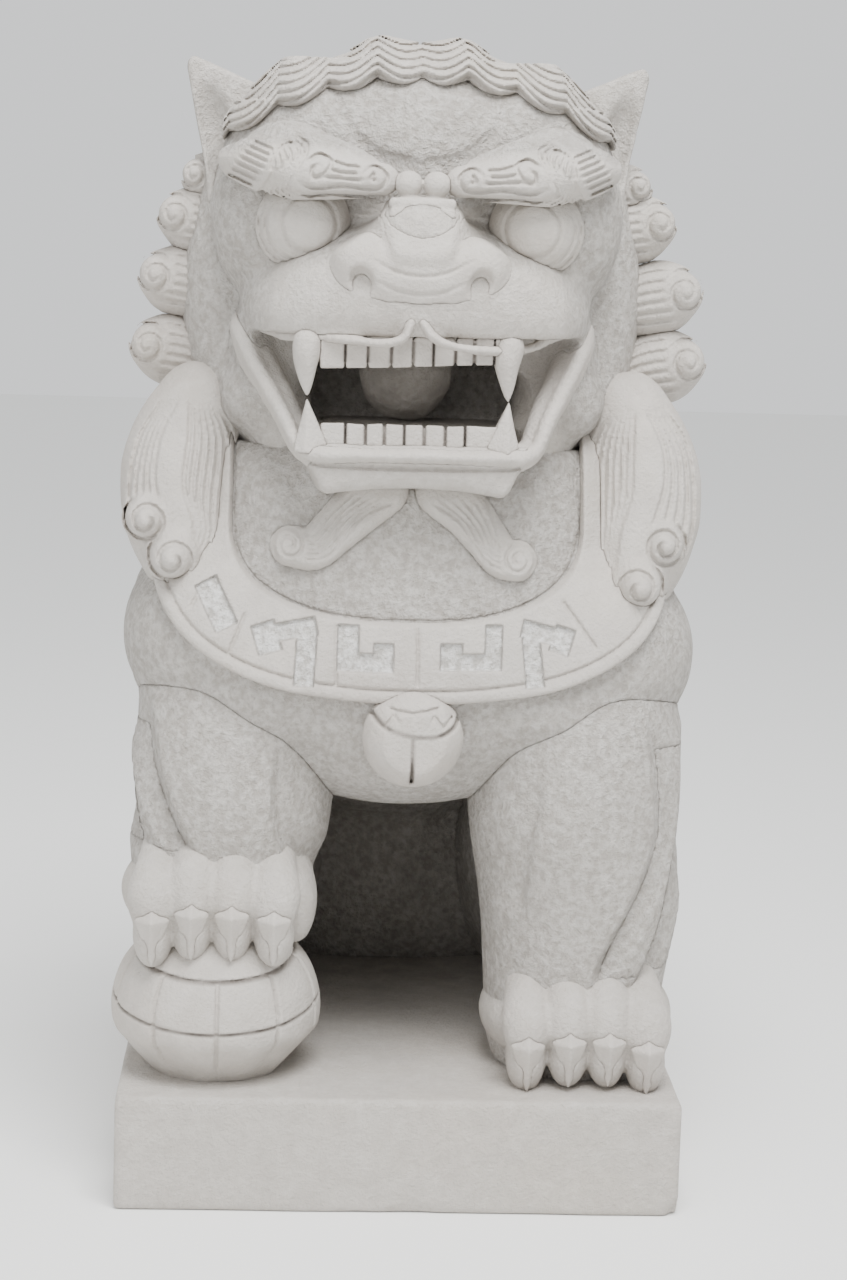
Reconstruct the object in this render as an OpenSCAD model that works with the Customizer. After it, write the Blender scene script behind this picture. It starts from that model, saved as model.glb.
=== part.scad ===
// Guardian lion (foo dog) with its right forepaw on a ball, seated on a plinth.
// Frame: +Z up, the lion faces -Y, its left side is +X, origin at the centre of the plinth's underside.
// Each mass of the carving is its own solid. Details are whole, and the bigger mass behind is cut away for them.

/* [Plinth] */
// Width of the plinth across the lion
plinth_w = 580; // [480:5:700]
// Depth of the plinth from front to back
plinth_d = 760; // [640:5:900]
// Height of the plinth
plinth_h = 120; // [80:5:180]
// Bevel worn along the plinth's upper edges
plinth_bevel = 5; // [1:1:12]

/* [Lion] */
// Width of the lion across its mane curls
lion_w = 644; // [520:4:780]
// Depth of the lion from claws to tail
lion_d = 732; // [620:4:860]
// Height of the lion above the plinth
lion_h = 1080; // [900:10:1300]

/* [Ball under the paw] */
// Width of the ball
ball_d = 216; // [180:2:250]
// Height of the ball, which is squashed
ball_h = 148; // [130:2:170]

/* [Bell] */
// Diameter of the bell on the bib
bell_d = 102; // [80:2:124]

/* [Eyes] */
// Diameter of each eyeball
eye_d = 86; // [70:2:100]
// Diameter of the raised iris
iris_d = 54; // [42:2:60]
// Height of the iris over the eyeball
iris_h = 3; // [2:0.5:5]

/* [Mouth] */
// Width of the mouth between its cheek walls
mouth_w = 216; // [200:2:230]
// Diameter of the loose pearl in the mouth
pearl_d = 98; // [80:2:104]
// How far to the lion's right of the middle the pearl lies
pearl_rest = 8; // [0:1:20]
// Gap under the pearl, over the tongue
pearl_gap = 0.4; // [0.3:0.1:1]
// Height of the cutting teeth
tooth_h = 20; // [14:1:24]
// Thickness of the cutting teeth
tooth_t = 16; // [10:1:20]
// Slot sawn between two teeth
tooth_gap = 2; // [1:0.5:4]
// Number of upper teeth between the fangs
upper_tooth_count = 9; // [5:2:13]
// Number of lower teeth between the fangs
lower_tooth_count = 8; // [4:2:12]
// Length of the upper fangs
upper_fang_l = 50; // [38:1:56]
// Length of the lower fangs
lower_fang_l = 30; // [20:1:34]
// Diameter of a fang where it leaves the gum
fang_d = 30; // [22:1:34]

/* [Mane] */
// Diameter of a snail curl at the side of the mane
curl_d = 92; // [76:2:104]
// Diameter of a snail curl on the nape
nape_curl_d = 74; // [60:2:84]

/* [Bib] */
// How far the bib stands out of the chest
bib_t = 14; // [8:1:20]
// Width of the bib's band
bib_band_w = 92; // [70:2:110]

/* [Claws] */
// Length of a claw
claw_l = 58; // [46:1:66]
// Width of a claw
claw_w = 30; // [22:1:34]

/* [Hidden] */
// The lion is laid out for these sizes, in millimetres above the plinth, and stretched to the ones above.
design_w = 644;
design_d = 732;
design_h = 1080;
stretch = [lion_w / design_w, lion_d / design_d, lion_h / design_h];

// Facets on the big and the small rounded masses.
big_fn = 14;
small_fn = 10;
far = 3000;

function place(p) = [p.x * stretch.x, p.y * stretch.y, plinth_h + p.z * stretch.z];
function spread(s) = [s.x * stretch.x, s.y * stretch.y, s.z * stretch.z];
function flip(p, side) = [p.x * side, p.y, p.z];

right = -1;
left = 1;

// Heights above the plinth, and depths, that several masses share.
tongue_z = 677;
tongue_top = place([0, 0, tongue_z]).z;
pearl_y = -178;
teeth_y = -316;
upper_gum_z = 764;
lower_gum_z = 668;
fang_x = 104;
leg_x = 184;

stone_colour = "#c9c3b9";
pale_colour = "#d2cdc4";
shade_colour = "#b7b0a6";
deep_colour = "#8f877c";

// ---- Building blocks ------------------------------------------------------

// A rounded mass: an ellipsoid of the given full size about a centre in the layout.
module lump(centre, size, fn = big_fn) {
  translate(place(centre)) hull() scale(spread(size) / 2) sphere(r = 1, $fn = fn);
}

// One rounded mass drawn over several ellipsoids, each given as [centre, size].
module mass(lumps, fn = big_fn) {
  hull() for (m = lumps) translate(place(m[0])) scale(spread(m[1]) / 2) sphere(r = 1, $fn = fn);
}

// A lock of hair: rounded masses in a chain, each hulled to the next.
module chain(lumps, fn = small_fn) {
  for (i = [0 : len(lumps) - 2]) mass([lumps[i], lumps[i + 1]], fn);
}

// Both sides of a mirrored mass.
module both_sides() {
  children();
  mirror([1, 0, 0]) children();
}

module on_side(side) {
  if (side == right) mirror([1, 0, 0]) children();
  else children();
}

// Everything above the plinth's top.
module above_plinth() {
  translate([-far / 2, -far / 2, plinth_h]) cube(far);
}

module below(z) {
  translate([-far / 2, -far / 2, z - far]) cube(far);
}

// ---- Plinth and ball ------------------------------------------------------

module plinth() {
  color(pale_colour) difference() {
    translate([-plinth_w / 2, -plinth_d / 2, 0]) cube([plinth_w, plinth_d, plinth_h]);
    for (turn = [0 : 3]) {
      span = turn % 2 == 0 ? plinth_w : plinth_d;
      reach = turn % 2 == 0 ? plinth_d : plinth_w;
      rotate([0, 0, 90 * turn]) translate([0, reach / 2, plinth_h]) rotate([45, 0, 0])
        cube([span + 2 * plinth_bevel, plinth_bevel * sqrt(2), plinth_bevel * sqrt(2)], center = true);
    }
  }
}

ball_at = [-192 * stretch.x, -258 * stretch.y, plinth_h + ball_h * 0.47];

module ball_solid(grow = 0) {
  intersection() {
    translate(ball_at) hull()
      scale([ball_d / 2 + grow, ball_d / 2 + grow, ball_h / 2 + 8 + grow]) sphere(r = 1, $fn = 20);
    above_plinth();
  }
}

module ball() {
  color(stone_colour) ball_solid();
}

// ---- Forelegs, paws and claws ---------------------------------------------

module foreleg_mass(side) {
  foot = side == left ? 86 : 226;
  mass([
    [flip([leg_x, -225, foot + 20], side), [172, 190, 60]],
    [flip([leg_x - 2, -215, 300], side), [206, 214, 120]],
    [flip([leg_x - 4, -195, 400], side), [216, 230, 120]]
  ]);
}

module leg_fringe_mass(side) {
  foot = side == left ? 90 : 232;
  for (i = [0 : 1]) chain([
    [flip([270 - 12 * i, -130 + 60 * i, 350], side), [46, 90, 70]],
    [flip([262 - 14 * i, -140 + 60 * i, (350 + foot) / 2], side), [50, 86, 70]],
    [flip([232 - 12 * i, -165 + 60 * i, foot + 16], side), [44, 80, 40]]
  ]);
}

module paw_mass(side) {
  foot = side == left ? 0 : 122;
  wide = side == left ? 0 : 6;
  mass([
    [flip([leg_x, -225, foot + 50], side), [176 + wide, 200, 120]],
    [flip([leg_x, -250, foot + 24], side), [180 + wide, 220, 60]]
  ]);
  for (toe = [0 : 3]) mass([
    [flip([leg_x - 66 + 44 * toe, -300, foot + 66], side), [48, 70, 58]],
    [flip([leg_x - 68 + 45 * toe, -334, foot + 34], side), [42, 56, 66]]
  ], small_fn);
}

// A claw is a kite-shaped wedge with a ridge down its middle.
module claw(side, toe) {
  foot = side == left ? 0 : 118;
  base = place(flip([leg_x - 68 + 45 * toe, -362, foot + claw_l + 6], side));
  translate(base) hull() polyhedron(
    points = [
      [0, 4, 0], [-claw_w / 2, 6, -claw_l * 0.4], [claw_w / 2, 6, -claw_l * 0.4],
      [0, 0, -claw_l], [0, -10, -claw_l * 0.42], [0, 26, -claw_l * 0.45]
    ],
    faces = [[0, 4, 1], [0, 2, 4], [4, 3, 1], [4, 2, 3], [0, 1, 5], [0, 5, 2], [1, 3, 5], [2, 5, 3]]
  );
}

module claw_set(side) {
  for (toe = [0 : 3]) claw(side, toe);
}

module claws(side) {
  color(shade_colour) intersection() {
    claw_set(side);
    above_plinth();
  }
}

module paw(side) {
  color(pale_colour) intersection() {
    difference() {
      paw_mass(side);
      claw_set(side);
      if (side == right) ball_solid();
    }
    above_plinth();
  }
}

module foreleg(side) {
  color(stone_colour) difference() {
    foreleg_mass(side);
    paw_mass(side);
    leg_fringe_mass(side);
    shoulder_mass(side);
    torso_mass();
    haunch_mass(side);
  }
}

module leg_fringe(side) {
  color(pale_colour) difference() {
    leg_fringe_mass(side);
    paw_mass(side);
    shoulder_mass(side);
    torso_mass();
    haunch_mass(side);
    hind_paw_mass(side);
  }
}

// ---- Trunk ----------------------------------------------------------------

module chest_mass(grow = 0) {
  mass([
    [[0, -152, 436], [556 + grow, 326 + grow, 292 + grow]],
    [[0, -110, 520], [540 + grow, 330 + grow, 300 + grow]]
  ], 16);
}

module neck_mass() {
  mass([
    [[0, -100, 600], [470, 330, 260]],
    [[0, -40, 740], [420, 300, 300]]
  ]);
}

module back_mass() {
  mass([
    [[0, 20, 500], [460, 320, 380]],
    [[0, 140, 380], [420, 300, 240]]
  ]);
}

module torso_mass() {
  chest_mass();
  neck_mass();
  back_mass();
}

module shoulder_mass(side) {
  mass([
    [flip([190, -180, 420], side), [232, 262, 150]],
    [flip([205, -150, 480], side), [220, 250, 190]]
  ]);
  lump(flip([216, -196, 470], side), [150, 190, 150]);
}

module rump_mass() {
  mass([
    [[0, 232, 90], [420, 180, 240]],
    [[0, 210, 290], [400, 240, 220]]
  ]);
}

module haunch_mass(side) {
  mass([
    [flip([190, 130, 170], side), [206, 330, 340]],
    [flip([184, 210, 110], side), [200, 290, 300]]
  ]);
}

module hind_paw_mass(side) {
  mass([
    [flip([206, -10, 44], side), [150, 240, 96]],
    [flip([206, -60, 24], side), [156, 170, 60]]
  ]);
  for (toe = [0 : 3]) lump(flip([206 - 54 + 36 * toe, -118, 34], side), [38, 70, 62], small_fn);
}

// The tail stands up the back as a flame, with a curl to each side.
module tail_mass() {
  chain([
    [[0, 322, 50], [110, 60, 100]],
    [[0, 336, 170], [120, 60, 100]],
    [[0, 338, 270], [150, 56, 110]],
    [[0, 306, 380], [150, 60, 110]],
    [[0, 262, 450], [96, 56, 90]],
    [[0, 218, 520], [40, 40, 60]]
  ]);
  both_sides() lump([74, 318, 270], [84, 60, 96], small_fn);
  both_sides() lump([68, 286, 372], [76, 60, 88], small_fn);
}

module torso() {
  color(stone_colour) difference() {
    torso_mass();
    both_sides() shoulder_mass(left);
    both_sides() haunch_mass(left);
    rump_mass();
    tail_mass();
    head_mass();
    mane_back_mass();
    mane_details();
    both_sides() cheek_mass();
    jaw_mass();
    translate([-far / 2, -far / 2, mouth_floor]) cube(far);
  }
}

module shoulder(side) {
  color(stone_colour) difference() {
    shoulder_mass(side);
    haunch_mass(side);
    mane_lock_mass(side);
    bib_solid();
    breast_solid();
    mane_curl_solid(side, 4);
  }
}

module rump() {
  color(shade_colour) difference() {
    rump_mass();
    both_sides() haunch_mass(left);
    tail_mass();
    below(plinth_h);
  }
}

module haunch(side) {
  color(stone_colour) difference() {
    haunch_mass(side);
    hind_paw_mass(side);
    tail_mass();
    below(plinth_h);
  }
}

module hind_paw(side) {
  color(pale_colour) difference() {
    hind_paw_mass(side);
    paw_mass(side);
    below(plinth_h);
  }
}

module tail() {
  color(pale_colour) difference() {
    tail_mass();
    below(plinth_h);
  }
}

// ---- Bib, bell and beard --------------------------------------------------

bib_at = place([0, 0, 572]);
bib_half_w = 272 * stretch.x;
bib_drop = 172 * stretch.z;
bib_rise = -62 * stretch.z;
neck_line_half_w = bib_half_w - bib_band_w - 14;
neck_line_drop = bib_drop - bib_band_w;

// The lower half of an ellipse in the front plane, standing in the XZ plane and run back through the chest.
module apron(half_w, drop, rise) {
  translate([bib_at.x, 0, bib_at.z]) rotate([90, 0, 0]) linear_extrude(far / 4) intersection() {
    scale([half_w, drop]) circle(r = 1, $fn = 32);
    translate([-far, rise - far]) square([2 * far, far]);
  }
}

// The skin of the chest, bib_t thick, that the bib and the breast are cut from.
module chest_skin(thick) {
  intersection() {
    chest_mass(2 * thick);
    translate([-far / 2, -far - 100 * stretch.y, 0]) cube(far);
  }
}

module bib_solid() {
  difference() {
    intersection() {
      chest_skin(bib_t);
      apron(bib_half_w, bib_drop, bib_rise);
    }
    apron(neck_line_half_w, neck_line_drop, 0);
  }
}

module breast_solid() {
  intersection() {
    chest_skin(bib_t - 5);
    apron(neck_line_half_w, neck_line_drop, 30 * stretch.z);
  }
}

module bib() {
  color(pale_colour) difference() {
    bib_solid();
    torso_mass();
    both_sides() mane_lock_mass(left);
    bell_solid();
    both_sides() mane_curl_solid(left, 4);
  }
}

module breast() {
  color(stone_colour) difference() {
    breast_solid();
    torso_mass();
    both_sides() beard_lock_mass(left);
    both_sides() mane_lock_mass(left);
    jaw_mass();
  }
}

bell_at = place([5, -318, 366]);

module bell_solid() {
  translate(bell_at) hull() scale([1, 0.8, 1]) sphere(d = bell_d, $fn = 16);
}

module bell() {
  color(pale_colour) difference() {
    bell_solid();
    chest_mass();
  }
}

module beard_lock_mass(side) {
  chain([
    [flip([50, -288, 606], side), [80, 60, 44]],
    [flip([76, -304, 570], side), [64, 40, 50]],
    [flip([112, -306, 536], side), [60, 36, 44]]
  ]);
}

module beard_lock(side) {
  color(pale_colour) difference() {
    beard_lock_mass(side);
    chest_mass();
    neck_mass();
    jaw_mass();
  }
}

// ---- Mane -----------------------------------------------------------------

module mane_lock_mass(side) {
  mass([
    [flip([232, -120, 690], side), [130, 190, 70]],
    [flip([246, -150, 590], side), [124, 190, 110]],
    [flip([266, -160, 556], side), [84, 130, 70]]
  ], small_fn);
  mass([
    [flip([214, -190, 620], side), [80, 130, 130]],
    [flip([234, -216, 504], side), [92, 90, 80]]
  ], small_fn);
}

module mane_lock(side) {
  color(pale_colour) difference() {
    mane_lock_mass(side);
    mane_curl_solid(side, 4);
    mane_curl_solid(side, 3);
    cheek_pair();
    jaw_mass();
    head_mass();
    beard_lock_mass(side);
    for (i = [1 : 2]) mane_curl_solid(side, i);
  }
}

// Centres of the side curls, from the ear down to the shoulder.
function curl_centre(i) = [
  [228, -70, 924], [250, -80, 872], [272, -90, 800], [274, -96, 722]
][i - 1];

module mane_curl_solid(side, i) {
  c = place(flip(curl_centre(i), side));
  root = place(flip(curl_centre(i) - [80, -10, 6], side));
  hull() {
    translate(c) scale([1, 1.1, 0.8]) sphere(d = curl_d, $fn = small_fn);
    translate(root) scale([1, 1.4, 0.8]) sphere(d = curl_d * 0.8, $fn = small_fn);
  }
}

// A curl is whole where it stands over the one below it.
module mane_curl(side, i) {
  color(pale_colour) difference() {
    mane_curl_solid(side, i);
    if (i > 1) mane_curl_solid(side, i - 1);
    head_mass();
    ear_mass(side);
    cheek_pair();
    jaw_mass();
    brow_mass(side);
    crown_mass();
    muzzle_mass();
  }
}

module crown_mass() {
  both_sides() {
    mass([[[46, -150, 1044], [100, 110, 72]], [[50, -90, 1034], [110, 110, 70]]], small_fn);
    mass([[[122, -142, 1018], [96, 104, 66]], [[122, -84, 1006], [104, 110, 70]]], small_fn);
  }
}

module crown_curls() {
  color(pale_colour) difference() {
    crown_mass();
    head_mass();
    brow_mass(right);
    brow_mass(left);
    both_sides() ear_mass(left);
  }
}

module mane_back_mass() {
  mass([
    [[0, 10, 860], [420, 250, 300]],
    [[0, 60, 640], [440, 240, 300]]
  ]);
}

nape_rows = 4;
nape_turn = 36;  // degrees from one nape curl to the next round the neck

// Rows of curls round the back of the neck, each row half a curl on from the one above.
module nape_curl_mass() {
  for (row = [0 : nape_rows - 1]) {
    count = 4 + row % 2;
    for (i = [0 : count - 1]) {
      turn = (i - (count - 1) / 2) * nape_turn;
      out = 1 - 0.03 * (nape_rows - 1 - row);
      centre = [204 * out * sin(turn), 22 + 14 * row + 116 * out * cos(turn), 928 - 96 * row];
      translate(place(centre)) scale([1, 0.9, 1]) hull() sphere(d = nape_curl_d, $fn = small_fn);
    }
  }
}

module mane_back() {
  color(stone_colour) difference() {
    mane_back_mass();
    nape_curl_mass();
    head_mass();
    throat_mass();
    crown_mass();
    both_sides() ear_mass(left);
    for (side = [right, left], i = [1 : 4]) mane_curl_solid(side, i);
    both_sides() mane_lock_mass(left);
    tail_mass();
  }
}

module nape_curls() {
  color(pale_colour) nape_curl_mass();
}

module mane_details() {
  both_sides() {
    mane_lock_mass(left);
    beard_lock_mass(left);
  }
  for (side = [right, left], i = [1 : 4]) mane_curl_solid(side, i);
}

// ---- Head -----------------------------------------------------------------

// The mouth lies between these heights, and its back wall at this depth.
mouth_floor = place([0, 0, tongue_z - 30]).z;
mouth_roof = place([0, 0, upper_gum_z + 16]).z;
mouth_back = -118 * stretch.y;

module head_mass() {
  difference() {
    mass([
      [[0, -150, 900], [384, 260, 210]],
      [[0, -180, 960], [330, 220, 130]],
      [[0, -60, 800], [340, 190, 150]]
    ]);
    below(mouth_roof);
  }
}

// The throat is the mouth's back wall, between the trunk and the skull.
module throat_mass() {
  difference() {
    mass([
      [[0, -60, 640], [420, 260, 200]],
      [[0, -60, 790], [360, 220, 200]]
    ]);
    below(mouth_floor);
    translate([-far / 2, -far / 2, mouth_roof]) cube(far);
    translate([-far / 2, mouth_back - far, 0]) cube(far);
  }
}

// Room for the pearl to roll from side to side behind the teeth.
module mouth_space() {
  front = -330 * stretch.y;
  translate([-mouth_w / 2, front, mouth_floor]) cube([mouth_w, mouth_back - front, mouth_roof - mouth_floor]);
}

module cheek_mass() {
  difference() {
    mass([
      [[150, -200, 812], [76, 150, 110]],
      [[140, -180, 720], [70, 130, 130]]
    ], small_fn);
    mouth_space();
  }
}

module cheek_pair() {
  both_sides() cheek_mass();
}

module muzzle_mass() {
  difference() {
    union() {
      mass([
        [[0, -262, 812], [296, 168, 96]],
        [[0, -230, 850], [330, 160, 100]]
      ]);
      mass([
        [[0, -300, 866], [96, 70, 60]],
        [[0, -296, 836], [180, 100, 70]]
      ], small_fn);
    }
    below(place([0, 0, upper_gum_z]).z);
  }
}

module nose_mass() {
  mass([
    [[0, -336, 852], [80, 44, 44]],
    [[0, -330, 832], [120, 50, 40]]
  ], small_fn);
  both_sides() lump([50, -326, 832], [62, 62, 50], small_fn);
}

module brow_mass(side) {
  chain([
    [flip([40, -306, 920], side), [44, 50, 34]],
    [flip([110, -304, 920], side), [60, 62, 44]],
    [flip([178, -262, 964], side), [48, 70, 54]]
  ]);
}

module brow_beads_mass() {
  both_sides() lump([16, -308, 922], [30, 36, 28], small_fn);
  mass([
    [[-28, -316, 896], [16, 36, 20]],
    [[28, -316, 896], [16, 36, 20]]
  ], small_fn);
}

eye_at = place([116, -268, 882]);
iris_out = 7;

module eye_solid() {
  translate(eye_at) hull() sphere(d = eye_d, $fn = 18);
}

module iris_solid() {
  translate(eye_at) rotate([86, 0, iris_out]) cylinder(d = iris_d, h = eye_d / 2 + iris_h, $fn = 32);
}

module ear_mass(side) {
  mass([
    [flip([231, -92, 1040], side), [10, 16, 12]],
    [flip([176, -92, 1000], side), [70, 50, 60]],
    [flip([212, -86, 930], side), [50, 60, 60]]
  ], small_fn);
}

module throat() {
  color(shade_colour) difference() {
    throat_mass();
    cheek_pair();
    mane_details();
  }
}

module head() {
  color(stone_colour) difference() {
    head_mass();
    cheek_pair();
    muzzle_mass();
    brow_mass(right);
    brow_mass(left);
    brow_beads_mass();
    both_sides() {
      eye_solid();
      ear_mass(left);
    }
  }
}

module cheek(side) {
  color(stone_colour) difference() {
    on_side(side) cheek_mass();
    muzzle_mass();
    jaw_mass();
    upper_lip_mass();
    lower_lip_mass();
    both_sides() eye_solid();
  }
}

module muzzle() {
  color(stone_colour) difference() {
    muzzle_mass();
    nose_mass();
    upper_lip_mass();
    brow_beads_mass();
    brow_mass(right);
    brow_mass(left);
    both_sides() eye_solid();
  }
}

module nose() {
  color(pale_colour) difference() {
    nose_mass();
    upper_lip_mass();
    brow_beads_mass();
  }
}

module brow(side) {
  color(pale_colour) difference() {
    brow_mass(side);
    on_side(side) {
      eye_solid();
      iris_solid();
    }
    brow_beads_mass();
  }
}

module brow_beads() {
  color(pale_colour) brow_beads_mass();
}

module eye(side) {
  color(pale_colour) on_side(side) {
    eye_solid();
    iris_solid();
  }
}

module ear(side) {
  color(stone_colour) difference() {
    ear_mass(side);
    brow_mass(side);
    lump(flip([196, -118, 985], side), [26, 26, 60], small_fn);
  }
}

// ---- Mouth ----------------------------------------------------------------

module upper_lip_mass() {
  both_sides() chain([
    [[5, -338, 782], [16, 20, 22]],
    [[30, -340, 770], [18, 20, 16]],
    [[112, -316, 770], [18, 20, 18]],
    [[168, -228, 786], [16, 22, 18]]
  ]);
}

module upper_lip() {
  color(pale_colour) difference() {
    upper_lip_mass();
    below(place([0, 0, upper_gum_z]).z);
  }
}

// A row of teeth between two fangs, on a straight gum.
module tooth_row(count, half_span, z) {
  pitch = 2 * half_span / count;
  for (i = [0 : count - 1])
    translate([-half_span + i * pitch + tooth_gap / 2, teeth_y * stretch.y - tooth_t / 2, z])
      cube([pitch - tooth_gap, tooth_t, tooth_h]);
}

module upper_teeth() {
  color(pale_colour) tooth_row(upper_tooth_count, (fang_x - fang_d / 2) * stretch.x - tooth_gap,
    place([0, 0, upper_gum_z]).z - tooth_h);
}

module upper_fangs() {
  color(pale_colour) both_sides()
    translate([fang_x * stretch.x, teeth_y * stretch.y, place([0, 0, upper_gum_z]).z - upper_fang_l])
      cylinder(d1 = 3, d2 = fang_d, h = upper_fang_l, $fn = 24);
}

module jaw_mass() {
  mass([
    [[0, -300, 640], [224, 70, 56]],
    [[0, -170, 640], [216, 90, 56]]
  ]);
  mass([
    [[80, -316, 646], [50, 40, 44]],
    [[-80, -316, 646], [50, 40, 44]],
    [[-70, -306, 622], [60, 40, 20]],
    [[70, -306, 622], [60, 40, 20]]
  ], small_fn);
}

module lower_jaw() {
  color(stone_colour) difference() {
    jaw_mass();
    lower_lip_mass();
    tongue_mass();
    translate([-far / 2, -far / 2, place([0, 0, lower_gum_z]).z]) cube(far);
    neck_mass();
  }
}

module lower_lip_mass() {
  both_sides() chain([
    [[0, -330, 658], [16, 24, 16]],
    [[98, -322, 658], [18, 24, 16]],
    [[126, -270, 706], [16, 24, 18]],
    [[166, -216, 766], [14, 22, 18]]
  ]);
}

module lower_lip() {
  color(pale_colour) difference() {
    lower_lip_mass();
    upper_lip_mass();
    muzzle_mass();
    lower_fang_pair(0.4);
  }
}

module lower_teeth() {
  color(pale_colour) tooth_row(lower_tooth_count, (fang_x - 10 - fang_d / 2) * stretch.x - tooth_gap,
    place([0, 0, lower_gum_z]).z);
}

module lower_fang_pair(grow = 0) {
  both_sides() translate([(fang_x - 10) * stretch.x, teeth_y * stretch.y, place([0, 0, lower_gum_z]).z])
    cylinder(d1 = fang_d * 0.8 + 2 * grow, d2 = 3 + 2 * grow, h = lower_fang_l, $fn = 24);
}

module lower_fangs() {
  color(pale_colour) lower_fang_pair();
}

tongue_front = -296 * stretch.y;

// The floor of the mouth, level where the pearl rolls.
module tongue_mass() {
  half = (fang_x - 2) * stretch.x;
  translate([-half, tongue_front, place([0, 0, tongue_z - 24]).z])
    cube([2 * half, mouth_back - tongue_front, 24 * stretch.z]);
}

module tongue() {
  color(deep_colour) tongue_mass();
}

module mouth_pearl() {
  color(deep_colour) translate([-pearl_rest, pearl_y * stretch.y, tongue_top + pearl_gap + pearl_d / 2])
    sphere(d = pearl_d, $fn = 64);
}

// ---- The nodes ------------------------------------------------------------

plinth();
ball();
foreleg(right);  // foreleg_right
foreleg(left);  // foreleg_left
leg_fringe(right);  // leg_fringe_right
leg_fringe(left);  // leg_fringe_left
paw(right);  // paw_right
paw(left);  // paw_left
claws(right);  // claws_right
claws(left);  // claws_left
torso();
shoulder(right);  // shoulder_right
shoulder(left);  // shoulder_left
rump();
haunch(right);  // haunch_right
haunch(left);  // haunch_left
hind_paw(right);  // hind_paw_right
hind_paw(left);  // hind_paw_left
tail();
bib();
breast();
bell();
beard_lock(right);  // beard_lock_right
beard_lock(left);  // beard_lock_left
mane_lock(right);  // mane_lock_right
mane_lock(left);  // mane_lock_left
mane_curl(right, 1);  // mane_curl_right_1
mane_curl(right, 2);  // mane_curl_right_2
mane_curl(right, 3);  // mane_curl_right_3
mane_curl(right, 4);  // mane_curl_right_4
mane_curl(left, 1);  // mane_curl_left_1
mane_curl(left, 2);  // mane_curl_left_2
mane_curl(left, 3);  // mane_curl_left_3
mane_curl(left, 4);  // mane_curl_left_4
crown_curls();
mane_back();
nape_curls();
throat();
head();
cheek(right);  // cheek_right
cheek(left);  // cheek_left
muzzle();
nose();
brow(right);  // brow_right
brow(left);  // brow_left
brow_beads();
eye(right);  // eye_right
eye(left);  // eye_left
ear(right);  // ear_right
ear(left);  // ear_left
upper_lip();
upper_teeth();
upper_fangs();
lower_jaw();
lower_lip();
lower_teeth();
lower_fangs();
tongue();
mouth_pearl();
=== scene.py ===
# %% [markdown]
# # A guardian lion carved from one block
#
# The real statue is a single block of pale granite, cut with points and chisels, dressed with a bush hammer
# and ground smooth on the face, the paws and the mane. A pearl is cut loose inside its open mouth.
#
# Such a thing could be modelled with subdivision surfaces, but a carver doesn't pull polygons about: they
# take stone away from a block and leave swelling masses with grooves between them. So this script carves too.
# Each block of stone is a field of distances, negative inside and positive outside, which shapes are added to
# and cut from. Blender's own OpenVDB module then turns every part of a block into a mesh.

# %% Load the frame
import math
import bpy
import numpy as np
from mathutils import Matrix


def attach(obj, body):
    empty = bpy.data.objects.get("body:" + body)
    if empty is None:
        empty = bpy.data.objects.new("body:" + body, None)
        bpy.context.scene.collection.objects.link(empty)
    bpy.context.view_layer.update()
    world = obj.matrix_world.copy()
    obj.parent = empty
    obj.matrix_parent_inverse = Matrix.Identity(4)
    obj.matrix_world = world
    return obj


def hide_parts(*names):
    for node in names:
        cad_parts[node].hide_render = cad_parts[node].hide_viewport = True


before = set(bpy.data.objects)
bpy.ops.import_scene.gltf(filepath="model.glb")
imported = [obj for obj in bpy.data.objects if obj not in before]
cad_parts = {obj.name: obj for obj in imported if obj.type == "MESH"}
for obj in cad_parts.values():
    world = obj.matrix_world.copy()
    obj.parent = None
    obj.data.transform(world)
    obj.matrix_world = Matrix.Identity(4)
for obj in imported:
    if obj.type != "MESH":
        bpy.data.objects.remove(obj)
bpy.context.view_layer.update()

import openvdb
from mathutils import Matrix, Vector

MM = 0.001

# %% [markdown]
# ## Shapes in the stone
#
# A shape is a box that holds it and a rule that gives distances in millimetres on an open grid. That grid is
# three flat arrays X, Y and Z that numpy spreads over the whole box. Only the cells near a shape are ever
# worked on, which is what keeps hundreds of chisel cuts down to seconds.

# %% A shape, and how two of them blend
FAR = 60.0


def blend(a, b, soft):
    """The union of two fields, filleted over a width of soft."""
    if soft <= 0:
        return np.minimum(a, b)
    near = np.maximum(soft - np.abs(a - b), 0) / soft
    return np.minimum(a, b) - near * near * soft * 0.25


class Shape:
    def __init__(self, low, high, rule):
        self.low = np.array(low, float)
        self.high = np.array(high, float)
        self.rule = rule

    def window(self, X, Y, Z, reach):
        """The slices of an open grid that lie within reach of this shape's box."""
        cuts = []
        for axis, line in enumerate((X, Y, Z)):
            line = line.ravel()
            first = np.searchsorted(line, self.low[axis] - reach)
            last = np.searchsorted(line, self.high[axis] + reach, side="right")
            cuts.append(slice(int(first), int(last)))
        return tuple(cuts)

    def near(self, X, Y, Z, reach):
        """This shape's window and its distances there."""
        win = self.window(X, Y, Z, reach)
        if any(cut.stop <= cut.start for cut in win):
            return win, None
        x, y, z = X[win[0]], Y[:, win[1]], Z[:, :, win[2]]
        return win, np.broadcast_to(self.rule(x, y, z), tuple(c.stop - c.start for c in win))


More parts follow.
